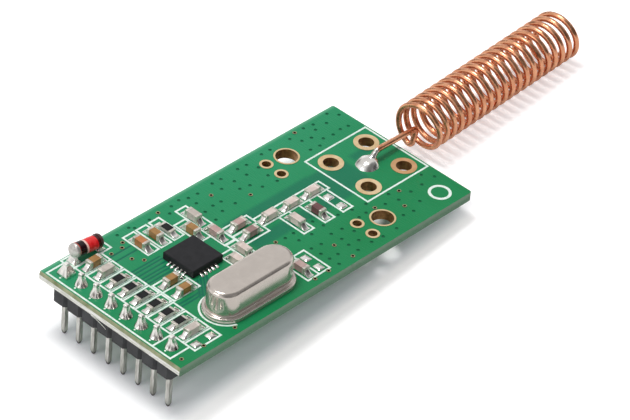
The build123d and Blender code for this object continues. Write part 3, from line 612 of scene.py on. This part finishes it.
def quartz():
    """The crystal's polished quartz blank."""
    values = {"Roughness": 0.08, "Transmission_Weight": 0.6, "IOR": 1.54}
    return plain_finish("quartz", 0.8, paint(232, 238, 240), paint(246, 248, 248), **values)


def silicon():
    """The diode's silicon die."""
    return plain_finish("silicon", 0.2, paint(60, 62, 70), paint(78, 80, 88), Metallic=0.4, Roughness=0.3)


def past(tree, value, border, blur):
    """A share that goes from 0 to 1 across a border, over a blur to either side."""
    return shade_along(tree, value, border - blur, border + blur)


def diode_glass():
    """The diode's glass sleeve: a dark band, a pale pinkish ring, red, and a dark seam at its far end."""
    values = {"Roughness": 0.16, "Specular_IOR_Level": 0.25, "Coat_Weight": 0.2}
    material, tree, shader = new_finish("diode glass", **values)
    place = millimetres(tree)
    along = split(tree, place)["X"]
    band = drifting(tree, place, 0.4, paint(14, 2, 8), paint(44, 8, 18))
    red = drifting(tree, place, 0.5, paint(218, 28, 34), paint(238, 56, 58))
    glass = blend_colours(tree, past(tree, along, DIODE_BAND_END, blur=0.03), band, paint(244, 204, 194))
    glass = blend_colours(tree, past(tree, along, DIODE_RED_START, blur=0.06), glass, red)
    glass = blend_colours(tree, past(tree, along, DIODE_RED_END, blur=0.04), glass, paint(62, 12, 14))
    tree.links.new(glass, shader["Base Color"])
    return material


def diode_stud():
    """A stud that is red with oxide inside the glass and tinned on its cap, darker at the far end."""
    material, tree, shader = new_finish("diode stud", Metallic=0.8, Roughness=0.3)
    place = millimetres(tree)
    along = split(tree, place)["X"]
    capped = beyond(tree, sums(tree, "SUBTRACT", along, DIODE_MIDDLE), STUD_INSIDE)
    red = drifting(tree, place, 0.4, paint(190, 52, 40), paint(220, 84, 60))
    tin = drifting(tree, place, 0.4, paint(182, 178, 174), paint(216, 212, 208))
    tin = blend_colours(tree, shade_along(tree, along, *STUD_DARKENS), tin, paint(104, 80, 78))
    tree.links.new(blend_colours(tree, capped, red, tin), shader["Base Color"])
    return material


# Materials of the chip parts

GLAZE_ABOVE_SEAT = 0.39
END_METAL = 0.9
CERAMICS = {
    "brown": (paint(150, 108, 56), paint(166, 124, 70)),
    "orange": (paint(178, 112, 62), paint(192, 126, 76)),
    "grey": (paint(186, 176, 168), paint(200, 190, 182)),
    "pink": (paint(182, 150, 146), paint(198, 170, 164)),
    "taupe": (paint(140, 112, 108), paint(156, 130, 124)),
    "mauve": (paint(96, 58, 60), paint(114, 72, 72)),
    "white": (paint(212, 194, 186), paint(226, 212, 204)),
}
CAPACITOR_COLOURS = [
    *("brown", "grey", "grey", "orange", "brown", "brown", "grey", "pink", "brown", "brown"),
    *("pink", "taupe", "white", "white", "white", "mauve", "white", "white", "pink"),
]


def tin_the_ends(tree, shader, place, body, way, band, waver):
    """Puts tinned bands on the two ends of a chip part's body."""
    ends = place_effect(tree, end_bands, {"Along": ALONG[way], "Band": band, "Waver": waver})["Share"]
    tin = drifting(tree, place, 0.35, paint(196, 188, 178), paint(232, 226, 218))
    tree.links.new(blend_colours(tree, ends, body, tin), shader["Base Color"])
    tree.links.new(sums(tree, "MULTIPLY", ends, END_METAL), shader["Metallic"])


def fired_ceramic(name, way, one, other):
    """A chip part's ceramic body between its tinned ends."""
    material, tree, shader = new_finish(name, Roughness=0.42)
    place = millimetres(tree)
    tin_the_ends(tree, shader, place, drifting(tree, place, 0.6, one, other), way, band=0.2, waver=0.03)
    tree.links.new(grain_normal(tree, place, size=0.09, depth=0.012), shader["Normal"])
    return material


def resistor_body(way):
    """A chip resistor: dark glaze on top, white plate at its sides, tinned ends."""
    material, tree, shader = new_finish("resistor_" + way, Roughness=0.4, Specular_IOR_Level=0.2)
    place = millimetres(tree)
    glazed = sums(tree, "GREATER_THAN", split(tree, place)["Z"], SEAT + GLAZE_ABOVE_SEAT)
    plate = drifting(tree, place, 0.4, paint(200, 198, 192), paint(224, 222, 216))
    glaze = drifting(tree, place, 0.5, paint(18, 19, 21), paint(28, 29, 31))
    body = blend_colours(tree, glazed, plate, glaze)
    tin_the_ends(tree, shader, place, body, way, band=0.18, waver=0.02)
    tree.links.new(grain_normal(tree, place, size=0.1, depth=0.01), shader["Normal"])
    return material


# The antenna's wire

TINNED_TO = 35.05
TINNED_BLUR = 0.1


def copper_wire():
    """Drawn copper wire, tinned where it enters its solder."""
    material, tree, shader = new_finish("copper wire", Metallic=1.0)
    place = millimetres(tree)
    drawn = streaked(tree, place, (0.5, 0.5, 0.5), size=0.5)
    copper = blend_colours(tree, drawn, paint(218, 150, 114), paint(234, 172, 134))
    tinned = shade_along(tree, split(tree, place)["X"], TINNED_TO + TINNED_BLUR, TINNED_TO - TINNED_BLUR)
    tree.links.new(blend_colours(tree, tinned, copper, paint(232, 228, 222)), shader["Base Color"])
    roughen(tree, shader, drawn, least=0.2, added=0.1)
    return material


# The CAD nodes in their materials


def dress(node, material):
    """Gives a CAD node its material through its slots."""
    piece = nodes[node]
    if not piece.material_slots:
        piece.data.materials.append(None)
    for slot in piece.material_slots:
        slot.link = "OBJECT"
        slot.material = material


def lies_along(node):
    """Which way a chip part lies."""
    low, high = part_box(node)
    return "x" if high.x - low.x > high.y - low.y else "y"


def dress_board():
    """The board, its legend and the plating of its holes."""
    dress("circuit_board", solder_mask())
    dress("board_legend", printed_ink())
    plating = gold_plate()
    for node in ("antenna_hole_linings", "mounting_hole_linings", "test_hole_linings"):
        dress(node, plating)
    dress("via_linings", via_plate())


def dress_header(tin):
    """The header's housing and pins."""
    dress("header_housing", moulded_black())
    for k in range(PIN_COUNT):
        dress(f"header_pin_{k + 1}", tin)


def dress_solder(solder):
    """The tinned pads, the crystal's joints and the linings of the wires' holes."""
    for node in ("solder_pads", "crystal_solder", "lead_hole_linings"):
        dress(node, solder)


def dress_chip(solder):
    """The chip's package and its leads."""
    dress("chip_package", package_epoxy())
    dress("chip_leads", solder)


def dress_crystal(tin):
    """The crystal's can and base, and what is inside them."""
    sheet = can_sheet()
    dress("crystal_can", sheet)
    dress("crystal_base", sheet)
    dress("crystal_leads", tin)
    dress("crystal_seals", seal_glass())
    dress("crystal_blank", quartz())


def dress_diode():
    """The diode's glass, its two studs and its die."""
    dress("diode_sleeve", diode_glass())
    stud = diode_stud()
    dress("diode_banded_stud", stud)
    dress("diode_plain_stud", stud)
    dress("diode_die", silicon())


def dress_chip_parts():
    """The chip capacitors, the inductor and the chip resistors, each by its colour and the way it lies."""
    made = {}
    for k, colour in enumerate(CAPACITOR_COLOURS):
        node = f"capacitor_{k + 1}"
        way = lies_along(node)
        if (colour, way) not in made:
            made[colour, way] = fired_ceramic(f"{colour} ceramic {way}", way, *CERAMICS[colour])
        dress(node, made[colour, way])
    dress("inductor", fired_ceramic("inductor ceramic", "x", *CERAMICS["white"]))
    bodies = {way: resistor_body(way) for way in ALONG}
    for k in range(RESISTOR_COUNT):
        node = f"resistor_{k + 1}"
        dress(node, bodies[lies_along(node)])


# Objects, and meshes made of rows of points


def add_object(name, data):
    """A new object in the scene."""
    made = bpy.data.objects.new(name, data)
    bpy.context.scene.collection.objects.link(made)
    return made


def add_mesh(name, points, faces, material):
    """A mesh object from points in metres."""
    mesh = bpy.data.meshes.new(name)
    mesh.from_pydata(points, [], faces)
    mesh.materials.append(material)
    return add_object(name, mesh)


def new_piece(name, points, faces, material, smooth=True):
    """A mesh piece from points in millimetres, which rides on the board."""
    piece = add_mesh(name, [Vector(point) * MM for point in points], faces, material)
    if smooth:
        piece.data.shade_smooth()
    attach(piece, "root")
    return piece


def join_grid(points, faces, rows, around):
    """Adds rows of points and the faces between them, closed into rings where around is true."""
    first = len(points)
    width = len(rows[0])
    for row in rows:
        points.extend(row)
    for i in range(len(rows) - 1):
        for j in range(width if around else width - 1):
            k = (j + 1) % width
            low, high = first + i * width, first + (i + 1) * width
            faces.append((low + j, low + k, high + k, high + j))


def rounded(angle, square):
    """How far a rounded square of half width 1 reaches at an angle; square 2 is a circle."""
    return (abs(math.cos(angle)) ** square + abs(math.sin(angle)) ** square) ** (-1 / square)


# Solder at the header's pins

RING_SIDES = 72
CONE_ROWS = 16
CONE_HEIGHT = 1.14
CONE_NECK = 0.255
CONE_FOOT = 0.66
CONE_HOLLOW = 2.1
CONE_FOLDS = 7
CONE_FOLD_DEPTH = 0.006
CONE_TURN = 1.7
CONE_FLUTES = 6.0
CIRCLE = 2
PIN_SQUARE = 6
PYRAMID_FOOT = 0.93
PYRAMID_HOLLOW = 1.1


def cone_rows(pin, foot, turn, sides, hollow):
    """Rings of solder that climb from a pad to a pin's four sides."""
    rows = []
    for i in range(CONE_ROWS + 1):
        climb = i / CONE_ROWS
        reach = CONE_NECK + (foot - CONE_NECK) * (1 - climb) ** hollow
        depth = CONE_FOLD_DEPTH * (1 - climb) ** 0.5
        ring = []
        for j in range(sides):
            angle = 2 * math.pi * (j + 0.5) / sides
            fold = 1 + depth * math.cos(CONE_FOLDS * angle + turn)
            out = reach * rounded(angle, CIRCLE + (PIN_SQUARE - CIRCLE) * climb) * fold
            x = pin[0] + out * math.cos(angle)
            y = pin[1] + out * math.sin(angle)
            ring.append((x, y, SEAT + CONE_HEIGHT * climb))
        rows.append(ring)
    return rows


def flow_header_solder():
    """Cones of solder around the header's pins; the first is a pyramid on a square pad."""
    points, faces = [], []
    for k in range(PIN_COUNT):
        low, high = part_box(f"header_pin_{k + 1}")
        pin = ((low.x + high.x) / 2 / MM, (low.y + high.y) / 2 / MM)
        if k == 0:
            corners, sides = [], []
            join_grid(corners, sides, cone_rows(pin, PYRAMID_FOOT, math.pi / 2, 4, PYRAMID_HOLLOW), True)
            ridged = fluted_solder("ridged solder painted reflections", CONE_FLUTES, depth=0.4)
            new_piece("first_pin_pyramid", corners, sides, ridged, smooth=False)
        else:
            join_grid(points, faces, cone_rows(pin, CONE_FOOT, CONE_TURN * k, RING_SIDES, CONE_HOLLOW), True)
    fluted = fluted_solder("fluted solder painted reflections", CONE_FLUTES, depth=0.9)
    piece = new_piece("header_solder_cones", points, faces, fluted)
    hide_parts("header_solder")


# Solder at the antenna's wire

BLOB_ROWS = 14
BLOB_SPREAD = 0.7
BLOB_BELLY = 2.2
BLOB_LUMPS = ((3, 0.03, 0.6), (7, 0.015, 2.0))
BLOB_EVEN_RIM = 0.4
BLOB_EVEN_POWER = 4
MOUND_FOOT = 1.22
MOUND_LEVEL = 3.0
MOUND_HEIGHT = 0.72
MOUND_DRAWN = 0.3
UNDER_FOOT = 1.1
UNDER_LEVEL = 1.96
COLLAR_START = Vector((0.42, 0, 3.18))
COLLAR_END = Vector((1.02, 0, 3.92))
COLLAR_NECK = 0.31
COLLAR_FLARE = 0.38


def blob_rows(middle, foot, level, tall, drawn):
    """Rings of a lumpy blob from its foot to its tip, which is drawn towards the antenna."""
    rows = []
    for i in range(BLOB_ROWS + 1):
        rim = 1 - i / BLOB_ROWS
        ring = []
        for j in range(RING_SIDES):
            angle = 2 * math.pi * j / RING_SIDES
            lump = sum(depth * math.cos(folds * angle + turn) for folds, depth, turn in BLOB_LUMPS)
            out = foot * rim ** BLOB_SPREAD * (1 + lump * (1 - rim ** BLOB_EVEN_POWER * BLOB_EVEN_RIM))
            x = middle.x + out * math.cos(angle) + drawn * (1 - rim)
            y = middle.y + out * math.sin(angle)
            ring.append((x, y, level + tall * (1 - rim ** BLOB_BELLY)))
        rows.append(ring)
    return rows


def collar_rows(middle):
    """Rings of solder around the wire, wide where it leaves the mound."""
    rows = []
    side = Vector((0, 1, 0))
    over = (COLLAR_END - COLLAR_START).normalized().cross(side)
    turns = [2 * math.pi * j / RING_SIDES for j in range(RING_SIDES)]
    for i in range(BLOB_ROWS + 1):
        climb = i / BLOB_ROWS
        thick = COLLAR_NECK + COLLAR_FLARE * (1 - climb) ** 2
        centre = middle + COLLAR_START.lerp(COLLAR_END, climb)
        rows.append([centre + (side * math.cos(turn) + over * math.sin(turn)) * thick for turn in turns])
    return rows


def flow_antenna_solder(solder):
    """The mound that holds the antenna's wire, its collar, and the smaller blob below the board."""
    low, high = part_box("antenna_solder")
    middle = Vector(((low.x + high.x) / 2, (low.y + high.y) / 2, 0)) / MM
    points, faces = [], []
    join_grid(points, faces, blob_rows(middle, MOUND_FOOT, MOUND_LEVEL, MOUND_HEIGHT, MOUND_DRAWN), True)
    drop = low.z / MM - UNDER_LEVEL
    join_grid(points, faces, blob_rows(middle, UNDER_FOOT, UNDER_LEVEL, drop, 0.0), True)
    join_grid(points, faces, collar_rows(middle), True)
    piece = new_piece("antenna_solder_blob", points, faces, solder)
    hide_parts("antenna_solder")


# Solder at the chip, the chip parts and the diode

PART_LENGTH = 1.6
PART_INSET = 0.03
PART_RUN = 0.6
PART_HALF_WIDTH = 0.38
PART_CLIMB = 0.62
PART_BELLY = 2.0
PART_BELLY_SWING = 0.3
PART_BELLY_STEP = 2.3
DIODE_ENDS = (("diode_banded_stud", -1, 0.95), ("diode_plain_stud", 1, 0.55))
DIODE_INSET = 0.3
DIODE_RUN_OUT = 0.52
DIODE_RUN_IN = 0.4
DIODE_HALF_WIDTH = 0.57
DIODE_BELLY = 1.5
CHIP_SIDE = 4.0
LEADS_ON_SIDE = 5
LEAD_PITCH = 0.5
LEAD_INSET = 0.02
LEAD_RUN = 0.5
LEAD_HALF_WIDTH = 0.16
LEAD_RISE = 0.13
LEAD_BELLY = 0.8
SLOPE_ROWS = 10
SLOPE_SIDE = 7
SLOPE_TOE = 0.05
SLOPE_SQUARE = 6
SLOPE_OUTLINE = 0.4
SLOPE_CROWN = 5


def chip_part_nodes():
    """The chip parts, in a fixed order."""
    capacitors = [f"capacitor_{k + 1}" for k in range(len(CAPACITOR_COLOURS))]
    resistors = [f"resistor_{k + 1}" for k in range(RESISTOR_COUNT)]
    return capacitors + resistors + ["inductor"]


def slope_rows(end, outward, run, half_width, rise, belly):
    """Rows of a solder slope from a part's end face, out and down to its pad's edge."""
    across = (-outward[1], outward[0])
    rows = []
    for i in range(SLOPE_ROWS + 1):
        out = i / SLOPE_ROWS
        height = rise * ((1 - out) ** belly) + SLOPE_TOE * (1 - out ** SLOPE_SQUARE)
        width = half_width * (1 - out ** SLOPE_SQUARE) ** SLOPE_OUTLINE
        row = []
        for j in range(-SLOPE_SIDE, SLOPE_SIDE + 1):
            side = math.sin(math.pi / 2 * j / SLOPE_SIDE)
            x = end[0] + outward[0] * out * run + across[0] * side * width
            y = end[1] + outward[1] * out * run + across[1] * side * width
            row.append((x, y, SEAT + height * (1 - abs(side) ** SLOPE_CROWN)))
        rows.append(row)
    return rows


def slope_at_parts(points, faces):
    """Slopes at both ends of each chip part, each a little different in belly."""
    for number, node in enumerate(chip_part_nodes()):
        low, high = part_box(node)
        middle = (low + high) / 2 / MM
        way = Vector(ALONG[lies_along(node)][:2])
        rise = (high.z - low.z) / MM * PART_CLIMB
        for side in (-1, 1):
            end = Vector((middle.x, middle.y)) + way * side * (PART_LENGTH / 2 - PART_INSET)
            belly = PART_BELLY + PART_BELLY_SWING * math.sin(PART_BELLY_STEP * number + side)
            rows = slope_rows(end, way * side, PART_RUN, PART_HALF_WIDTH, rise, belly)
            join_grid(points, faces, rows, False)


def slope_at_diode(points, faces):
    """Slopes outward and inward under each of the diode's caps."""
    for node, side, rise in DIODE_ENDS:
        low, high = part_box(node)
        edge = (low.x if side < 0 else high.x) / MM
        start = Vector((edge - side * DIODE_INSET, (low.y + high.y) / 2 / MM))
        for way, run in ((side, DIODE_RUN_OUT), (-side, DIODE_RUN_IN)):
            rows = slope_rows(start, Vector((way, 0)), run, DIODE_HALF_WIDTH, rise, DIODE_BELLY)
            join_grid(points, faces, rows, False)


def flow_part_solder(solder):
    """Solder slopes at the chip parts' ends and the diode's caps."""
    points, faces = [], []
    slope_at_parts(points, faces)
    slope_at_diode(points, faces)
    piece = new_piece("part_solder_slopes", points, faces, solder)
    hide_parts("solder_joints")


def flow_lead_solder(solder):
    """Low tongues of solder on the chip's leads."""
    low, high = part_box("chip_package")
    middle = (low + high) / 2 / MM
    points, faces = [], []
    for turn in range(4):
        outward = Vector((round(math.cos(turn * math.pi / 2)), round(math.sin(turn * math.pi / 2))))
        along = Vector((-outward.y, outward.x))
        for lead in range(LEADS_ON_SIDE):
            shift = (lead - LEADS_ON_SIDE // 2) * LEAD_PITCH
            end = Vector((middle.x, middle.y)) + outward * (CHIP_SIDE / 2 - LEAD_INSET) + along * shift
            rows = slope_rows(end, outward, LEAD_RUN, LEAD_HALF_WIDTH, LEAD_RISE, LEAD_BELLY)
            join_grid(points, faces, rows, False)
    new_piece("chip_lead_solder", points, faces, solder)


# Solder on the pads that carry no part, each placed from the middle of a part near it

DOME_ROWS = 6
DOME_HEIGHT = 0.13
DOME_BELLY = 2.4
DOME_SQUARE = 5.0
LONG_PAD = (0.47, 0.4)
TALL_PAD = (0.4, 0.47)
BARE_PADS = [
    ("capacitor_3", (-0.95, -1.49), LONG_PAD),
    ("capacitor_3", (0.95, -1.49), LONG_PAD),
    ("inductor", (6.65, -1.55), LONG_PAD),
    ("inductor", (6.65, -3.3), LONG_PAD),
    ("capacitor_19", (1.6, 0.85), TALL_PAD),
    ("capacitor_19", (1.6, -0.85), TALL_PAD),
]


def dome_rows(centre, half):
    """Rings of a low dome on a pad with rounded corners."""
    rows = []
    for i in range(DOME_ROWS + 1):
        rim = 1 - i / DOME_ROWS
        ring = []
        for j in range(RING_SIDES):
            angle = 2 * math.pi * j / RING_SIDES
            out = rim * rounded(angle, DOME_SQUARE)
            x = centre[0] + half[0] * out * math.cos(angle)
            y = centre[1] + half[1] * out * math.sin(angle)
            ring.append((x, y, SEAT + DOME_HEIGHT * (1 - rim ** DOME_BELLY)))
        rows.append(ring)
    return rows


def flow_bare_pads(solder):
    """Low domes of solder on the pads that carry no part."""
    points, faces = [], []
    for neighbour, shift, half in BARE_PADS:
        low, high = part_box(neighbour)
        middle = (low + high) / 2 / MM
        join_grid(points, faces, dome_rows((middle.x + shift[0], middle.y + shift[1]), half), True)
    new_piece("bare_pad_solder", points, faces, solder)


# The torn strand at the snapped edge

STRAND_ROWS = 8
STRAND_SIDES = 8
STRAND_FROM = Vector((-1.55, 2.0, 2.06))
STRAND_TO = Vector((-1.55, 0.0, 1.54))
STRAND_BOW = 0.075
STRAND_THICK = 0.05
STRAND_TAPER = 0.6


def tear_edge_fibre(fibre):
    """A strand of glass fibre that hangs from the snapped edge, a thin tapered tube along a bent line."""
    rows = []
    for i in range(STRAND_ROWS + 1):
        along = i / STRAND_ROWS
        bow = Vector((0, 0, STRAND_BOW * math.sin(math.pi * along)))
        middle = STRAND_FROM.lerp(STRAND_TO, along) + bow
        thick = STRAND_THICK * (1 - STRAND_TAPER * along)
        ring = []
        for j in range(STRAND_SIDES):
            angle = 2 * math.pi * j / STRAND_SIDES
            ring.append(middle + Vector((math.cos(angle), 0, math.sin(angle))) * thick)
        rows.append(ring)
    points, faces = [], []
    join_grid(points, faces, rows, True)
    new_piece("edge_fibre", points, faces, fibre)


# The floor, with its shades under the board in millimetres and its own places in metres

PAPER = (0.9, 0.9, 0.905, 1)
PAPER_LIFT = 0.41
SHADOW_LIFT = 0.125
SHADOW_MIDDLE = (19.15, 0.0)
SHADOW_HALF = (21.35, 8.8)
SHADOW_EDGE = 1.7
DEEP_SHADOW_MIDDLE = (19.8, 0.0)
DEEP_SHADOW_HALF = (19.0, 5.6)
DEEP_SHADOW_EDGE = 1.5
DEEP_SHADOW_SHARE = 0.9
SHADOW_BAND_START = (8.5, 2.25)
SHADOW_BAND_END = (31.0, 0.9)
SHADOW_BAND_HALF = 8.1
WARM_TINT = (1.0, 0.945, 0.96, 1.0)
COOL_TINT = (0.86, 0.84, 1.0, 1.0)
PIN_TIPS = Vector((0.0, 0.0, -4.1)) * MM
COIL_FROM = 45.0 * MM
FLOOR_REACH = 1.5


def pale_floor():
    """White paper that shows white to the camera, with a painted shadow under the board that is deepest
    beneath it, and still takes the real shadow.
    """
    material = bpy.data.materials.new("pale floor")
    material.use_nodes = True
    tree = material.node_tree
    tree.nodes.clear()
    ray = add_node(tree, "ShaderNodeLightPath").outputs
    back = add_node(tree, "ShaderNodeNewGeometry").outputs["Backfacing"]
    place = millimetres(tree)
    # Painted shadow: the paper's glow is weaker under the board, and weaker still in a patch and a band
    # beneath it.
    under_board = in_patch(tree, place, SHADOW_MIDDLE, SHADOW_HALF, SHADOW_EDGE)
    lost = sums(tree, "MULTIPLY", under_board, PAPER_LIFT - SHADOW_LIFT)
    lift = sums(tree, "SUBTRACT", PAPER_LIFT, lost)
    deep_shadow = in_patch(tree, place, DEEP_SHADOW_MIDDLE, DEEP_SHADOW_HALF, DEEP_SHADOW_EDGE)
    band = on_track(tree, place, SHADOW_BAND_START, SHADOW_BAND_END, SHADOW_BAND_HALF, DEEP_SHADOW_EDGE)
    unlit = sums(tree, "MULTIPLY", sums(tree, "MAXIMUM", deep_shadow, band), DEEP_SHADOW_SHARE)
    lift = sums(tree, "MULTIPLY", lift, sums(tree, "SUBTRACT", 1.0, unlit))
    lift = sums(tree, "MULTIPLY", ray["Is Camera Ray"], lift)
    # Painted light: the glow is tinted cool under the board and warm elsewhere.
    tint = blend_colours(tree, under_board, WARM_TINT, COOL_TINT)
    paper = add_node(tree, "ShaderNodeBsdfDiffuse", {"Color": PAPER}).outputs[0]
    glow = add_node(tree, "ShaderNodeEmission", {"Color": scaled(tree, tint, lift)}).outputs[0]
    lit = add_node(tree, "ShaderNodeAddShader", {0: paper, 1: glow}).outputs[0]
    clear = add_node(tree, "ShaderNodeBsdfTransparent").outputs[0]
    add_node(tree, "ShaderNodeOutputMaterial", {"Surface": mix_shaders(tree, back, lit, clear)})
    return material


def lay_floor():
    """The floor lies under the pins' tips and the antenna's far end, on which the module rests."""
    coil = [point.co - PIN_TIPS for point in nodes["antenna_coil"].data.vertices if point.co.x > COIL_FROM]
    slope = Vector((1, 0, min(point.z / point.x for point in coil))).normalized() * FLOOR_REACH
    across = Vector((0, 1, 0)) * FLOOR_REACH
    corners = [PIN_TIPS + slope * i + across * j for i, j in ((-1, -1), (1, -1), (1, 1), (-1, 1))]
    floor = add_mesh("floor", corners, [(0, 1, 2, 3)], pale_floor())


# The light, with places in metres

WHITE = (1, 1, 1, 1)
UNLIT_WAY = Vector((0.0, -0.86, 0.51))
UNLIT_RANGE = (0.4, 0.68)
UNLIT_STRENGTH = 0.22
PANELS = 5.0
PANEL_TURN = 2.79
PANEL_STRENGTH = 0.6
PANEL_SWING = 0.4
SKY_RANGE = (0.4, 0.62)
SKY_STRENGTH = 0.76
HORIZON_RANGE = (0.1, 0.04)
ROOM_STRENGTH = 0.5
LAMP_AIM = Vector((0.025, 0, 0.002))


def hang_lamp(name, place, size, power, colour):
    """A square soft lamp that points at the board."""
    data = bpy.data.lights.new(name, "AREA")
    data.size = size
    data.energy = power
    data.color = colour
    lamp = add_object(name, data)
    lamp.location = place
    aim = LAMP_AIM - lamp.location
    lamp.rotation_mode = "QUATERNION"
    lamp.rotation_quaternion = aim.to_track_quat("-Z", "Y")


def mirrored_strength(tree):
    """How bright the room is in each direction, as bright metal mirrors it."""
    way = add_node(tree, "ShaderNodeTexCoord").outputs["Generated"]
    toward = vectors(tree, "DOT_PRODUCT", way, UNLIT_WAY)
    fade = {"Value": toward, "From Min": UNLIT_RANGE[0], "From Max": UNLIT_RANGE[1]}
    dark = add_node(tree, "ShaderNodeMapRange", {**fade, "To Min": 1.0, "To Max": UNLIT_STRENGTH}).outputs[0]
    parts = split(tree, way)
    round_about = sums(tree, "MULTIPLY", sums(tree, "ARCTAN2", parts["Y"], parts["X"]), PANELS)
    wave = sums(tree, "SINE", sums(tree, "ADD", round_about, PANEL_TURN))
    panel = sums(tree, "ADD", PANEL_STRENGTH, sums(tree, "MULTIPLY", wave, PANEL_SWING))
    high = shade_along(tree, parts["Z"], *SKY_RANGE)
    sky = sums(tree, "MULTIPLY", high, SKY_STRENGTH)
    room = sums(tree, "ADD", sums(tree, "MULTIPLY", panel, sums(tree, "SUBTRACT", 1.0, high)), sky)
    horizon = shade_along(tree, parts["Z"], *HORIZON_RANGE)
    return sums(tree, "MAXIMUM", sums(tree, "MULTIPLY", dark, room), horizon)


def light_room():
    """A white room, unlit beyond the board's near edge, which is what bright metal mirrors."""
    world = bpy.data.worlds.new("white room")
    bpy.context.scene.world = world
    world.use_nodes = True
    tree = world.node_tree
    tree.nodes.clear()
    ray = add_node(tree, "ShaderNodeLightPath").outputs
    mirrored, lighting, seen = [
        add_node(tree, "ShaderNodeBackground", {"Color": WHITE, "Strength": strength}).outputs[0]
        for strength in (mirrored_strength(tree), ROOM_STRENGTH, 1.0)
    ]
    shiny = sums(tree, "MAXIMUM", ray["Is Glossy Ray"], ray["Is Transmission Ray"])
    soft = mix_shaders(tree, shiny, lighting, mirrored)
    add_node(tree, "ShaderNodeOutputWorld", {"Surface": mix_shaders(tree, ray["Is Camera Ray"], soft, seen)})


# The camera

CAMERA_PLACE = Vector((-184.544, -180.275, 216.590)) * MM
CAMERA_SIGHT = Vector((0.6007, 0.5130, -0.6132)).normalized()
CAMERA_RIGHT = Vector((0.6892, -0.7210, 0.0720))
LENS = 206.7
SENSOR = 36.0
NEAREST_SEEN = 0.01
FURTHEST_SEEN = 10.0


def set_camera():
    """The camera where the photographer stood, with the same long lens."""
    data = bpy.data.cameras.new("camera")
    data.lens = LENS
    data.sensor_width = SENSOR
    data.sensor_fit = "HORIZONTAL"
    data.clip_start = NEAREST_SEEN
    data.clip_end = FURTHEST_SEEN
    camera = add_object("camera", data)
    up = CAMERA_RIGHT.cross(CAMERA_SIGHT).normalized()
    right = CAMERA_SIGHT.cross(up).normalized()
    turned = Matrix((right, up, -CAMERA_SIGHT)).transposed().to_4x4()
    camera.matrix_world = Matrix.Translation(CAMERA_PLACE) @ turned
    bpy.context.scene.camera = camera
    bpy.context.scene.view_settings.view_transform = "Standard"


# The whole module, then the floor, the light and the camera

tin = tinned_metal()
solder = bright_solder("bright solder", roughness=0.15)
pad_solder = bright_solder("pad solder", roughness=0.3)
dress_board()
dress_header(tin)
dress_solder(pad_solder)
flow_header_solder()
flow_part_solder(solder)
flow_lead_solder(solder)
flow_bare_pads(solder)
flow_antenna_solder(solder)
tear_edge_fibre(glass_fibre())
dress_chip(solder)
dress_crystal(tin)
dress_diode()
dress_chip_parts()
dress("antenna_coil", copper_wire())
lay_floor()
light_room()
hang_lamp("high lamp", place=(-0.06, 0.115, 0.54), size=0.14, power=1.5, colour=(1.0, 0.99, 0.97))
hang_lamp("side lamp", place=(-0.45, 0.10, 0.25), size=0.3, power=0.5, colour=(1.0, 1.0, 1.0))
set_camera()
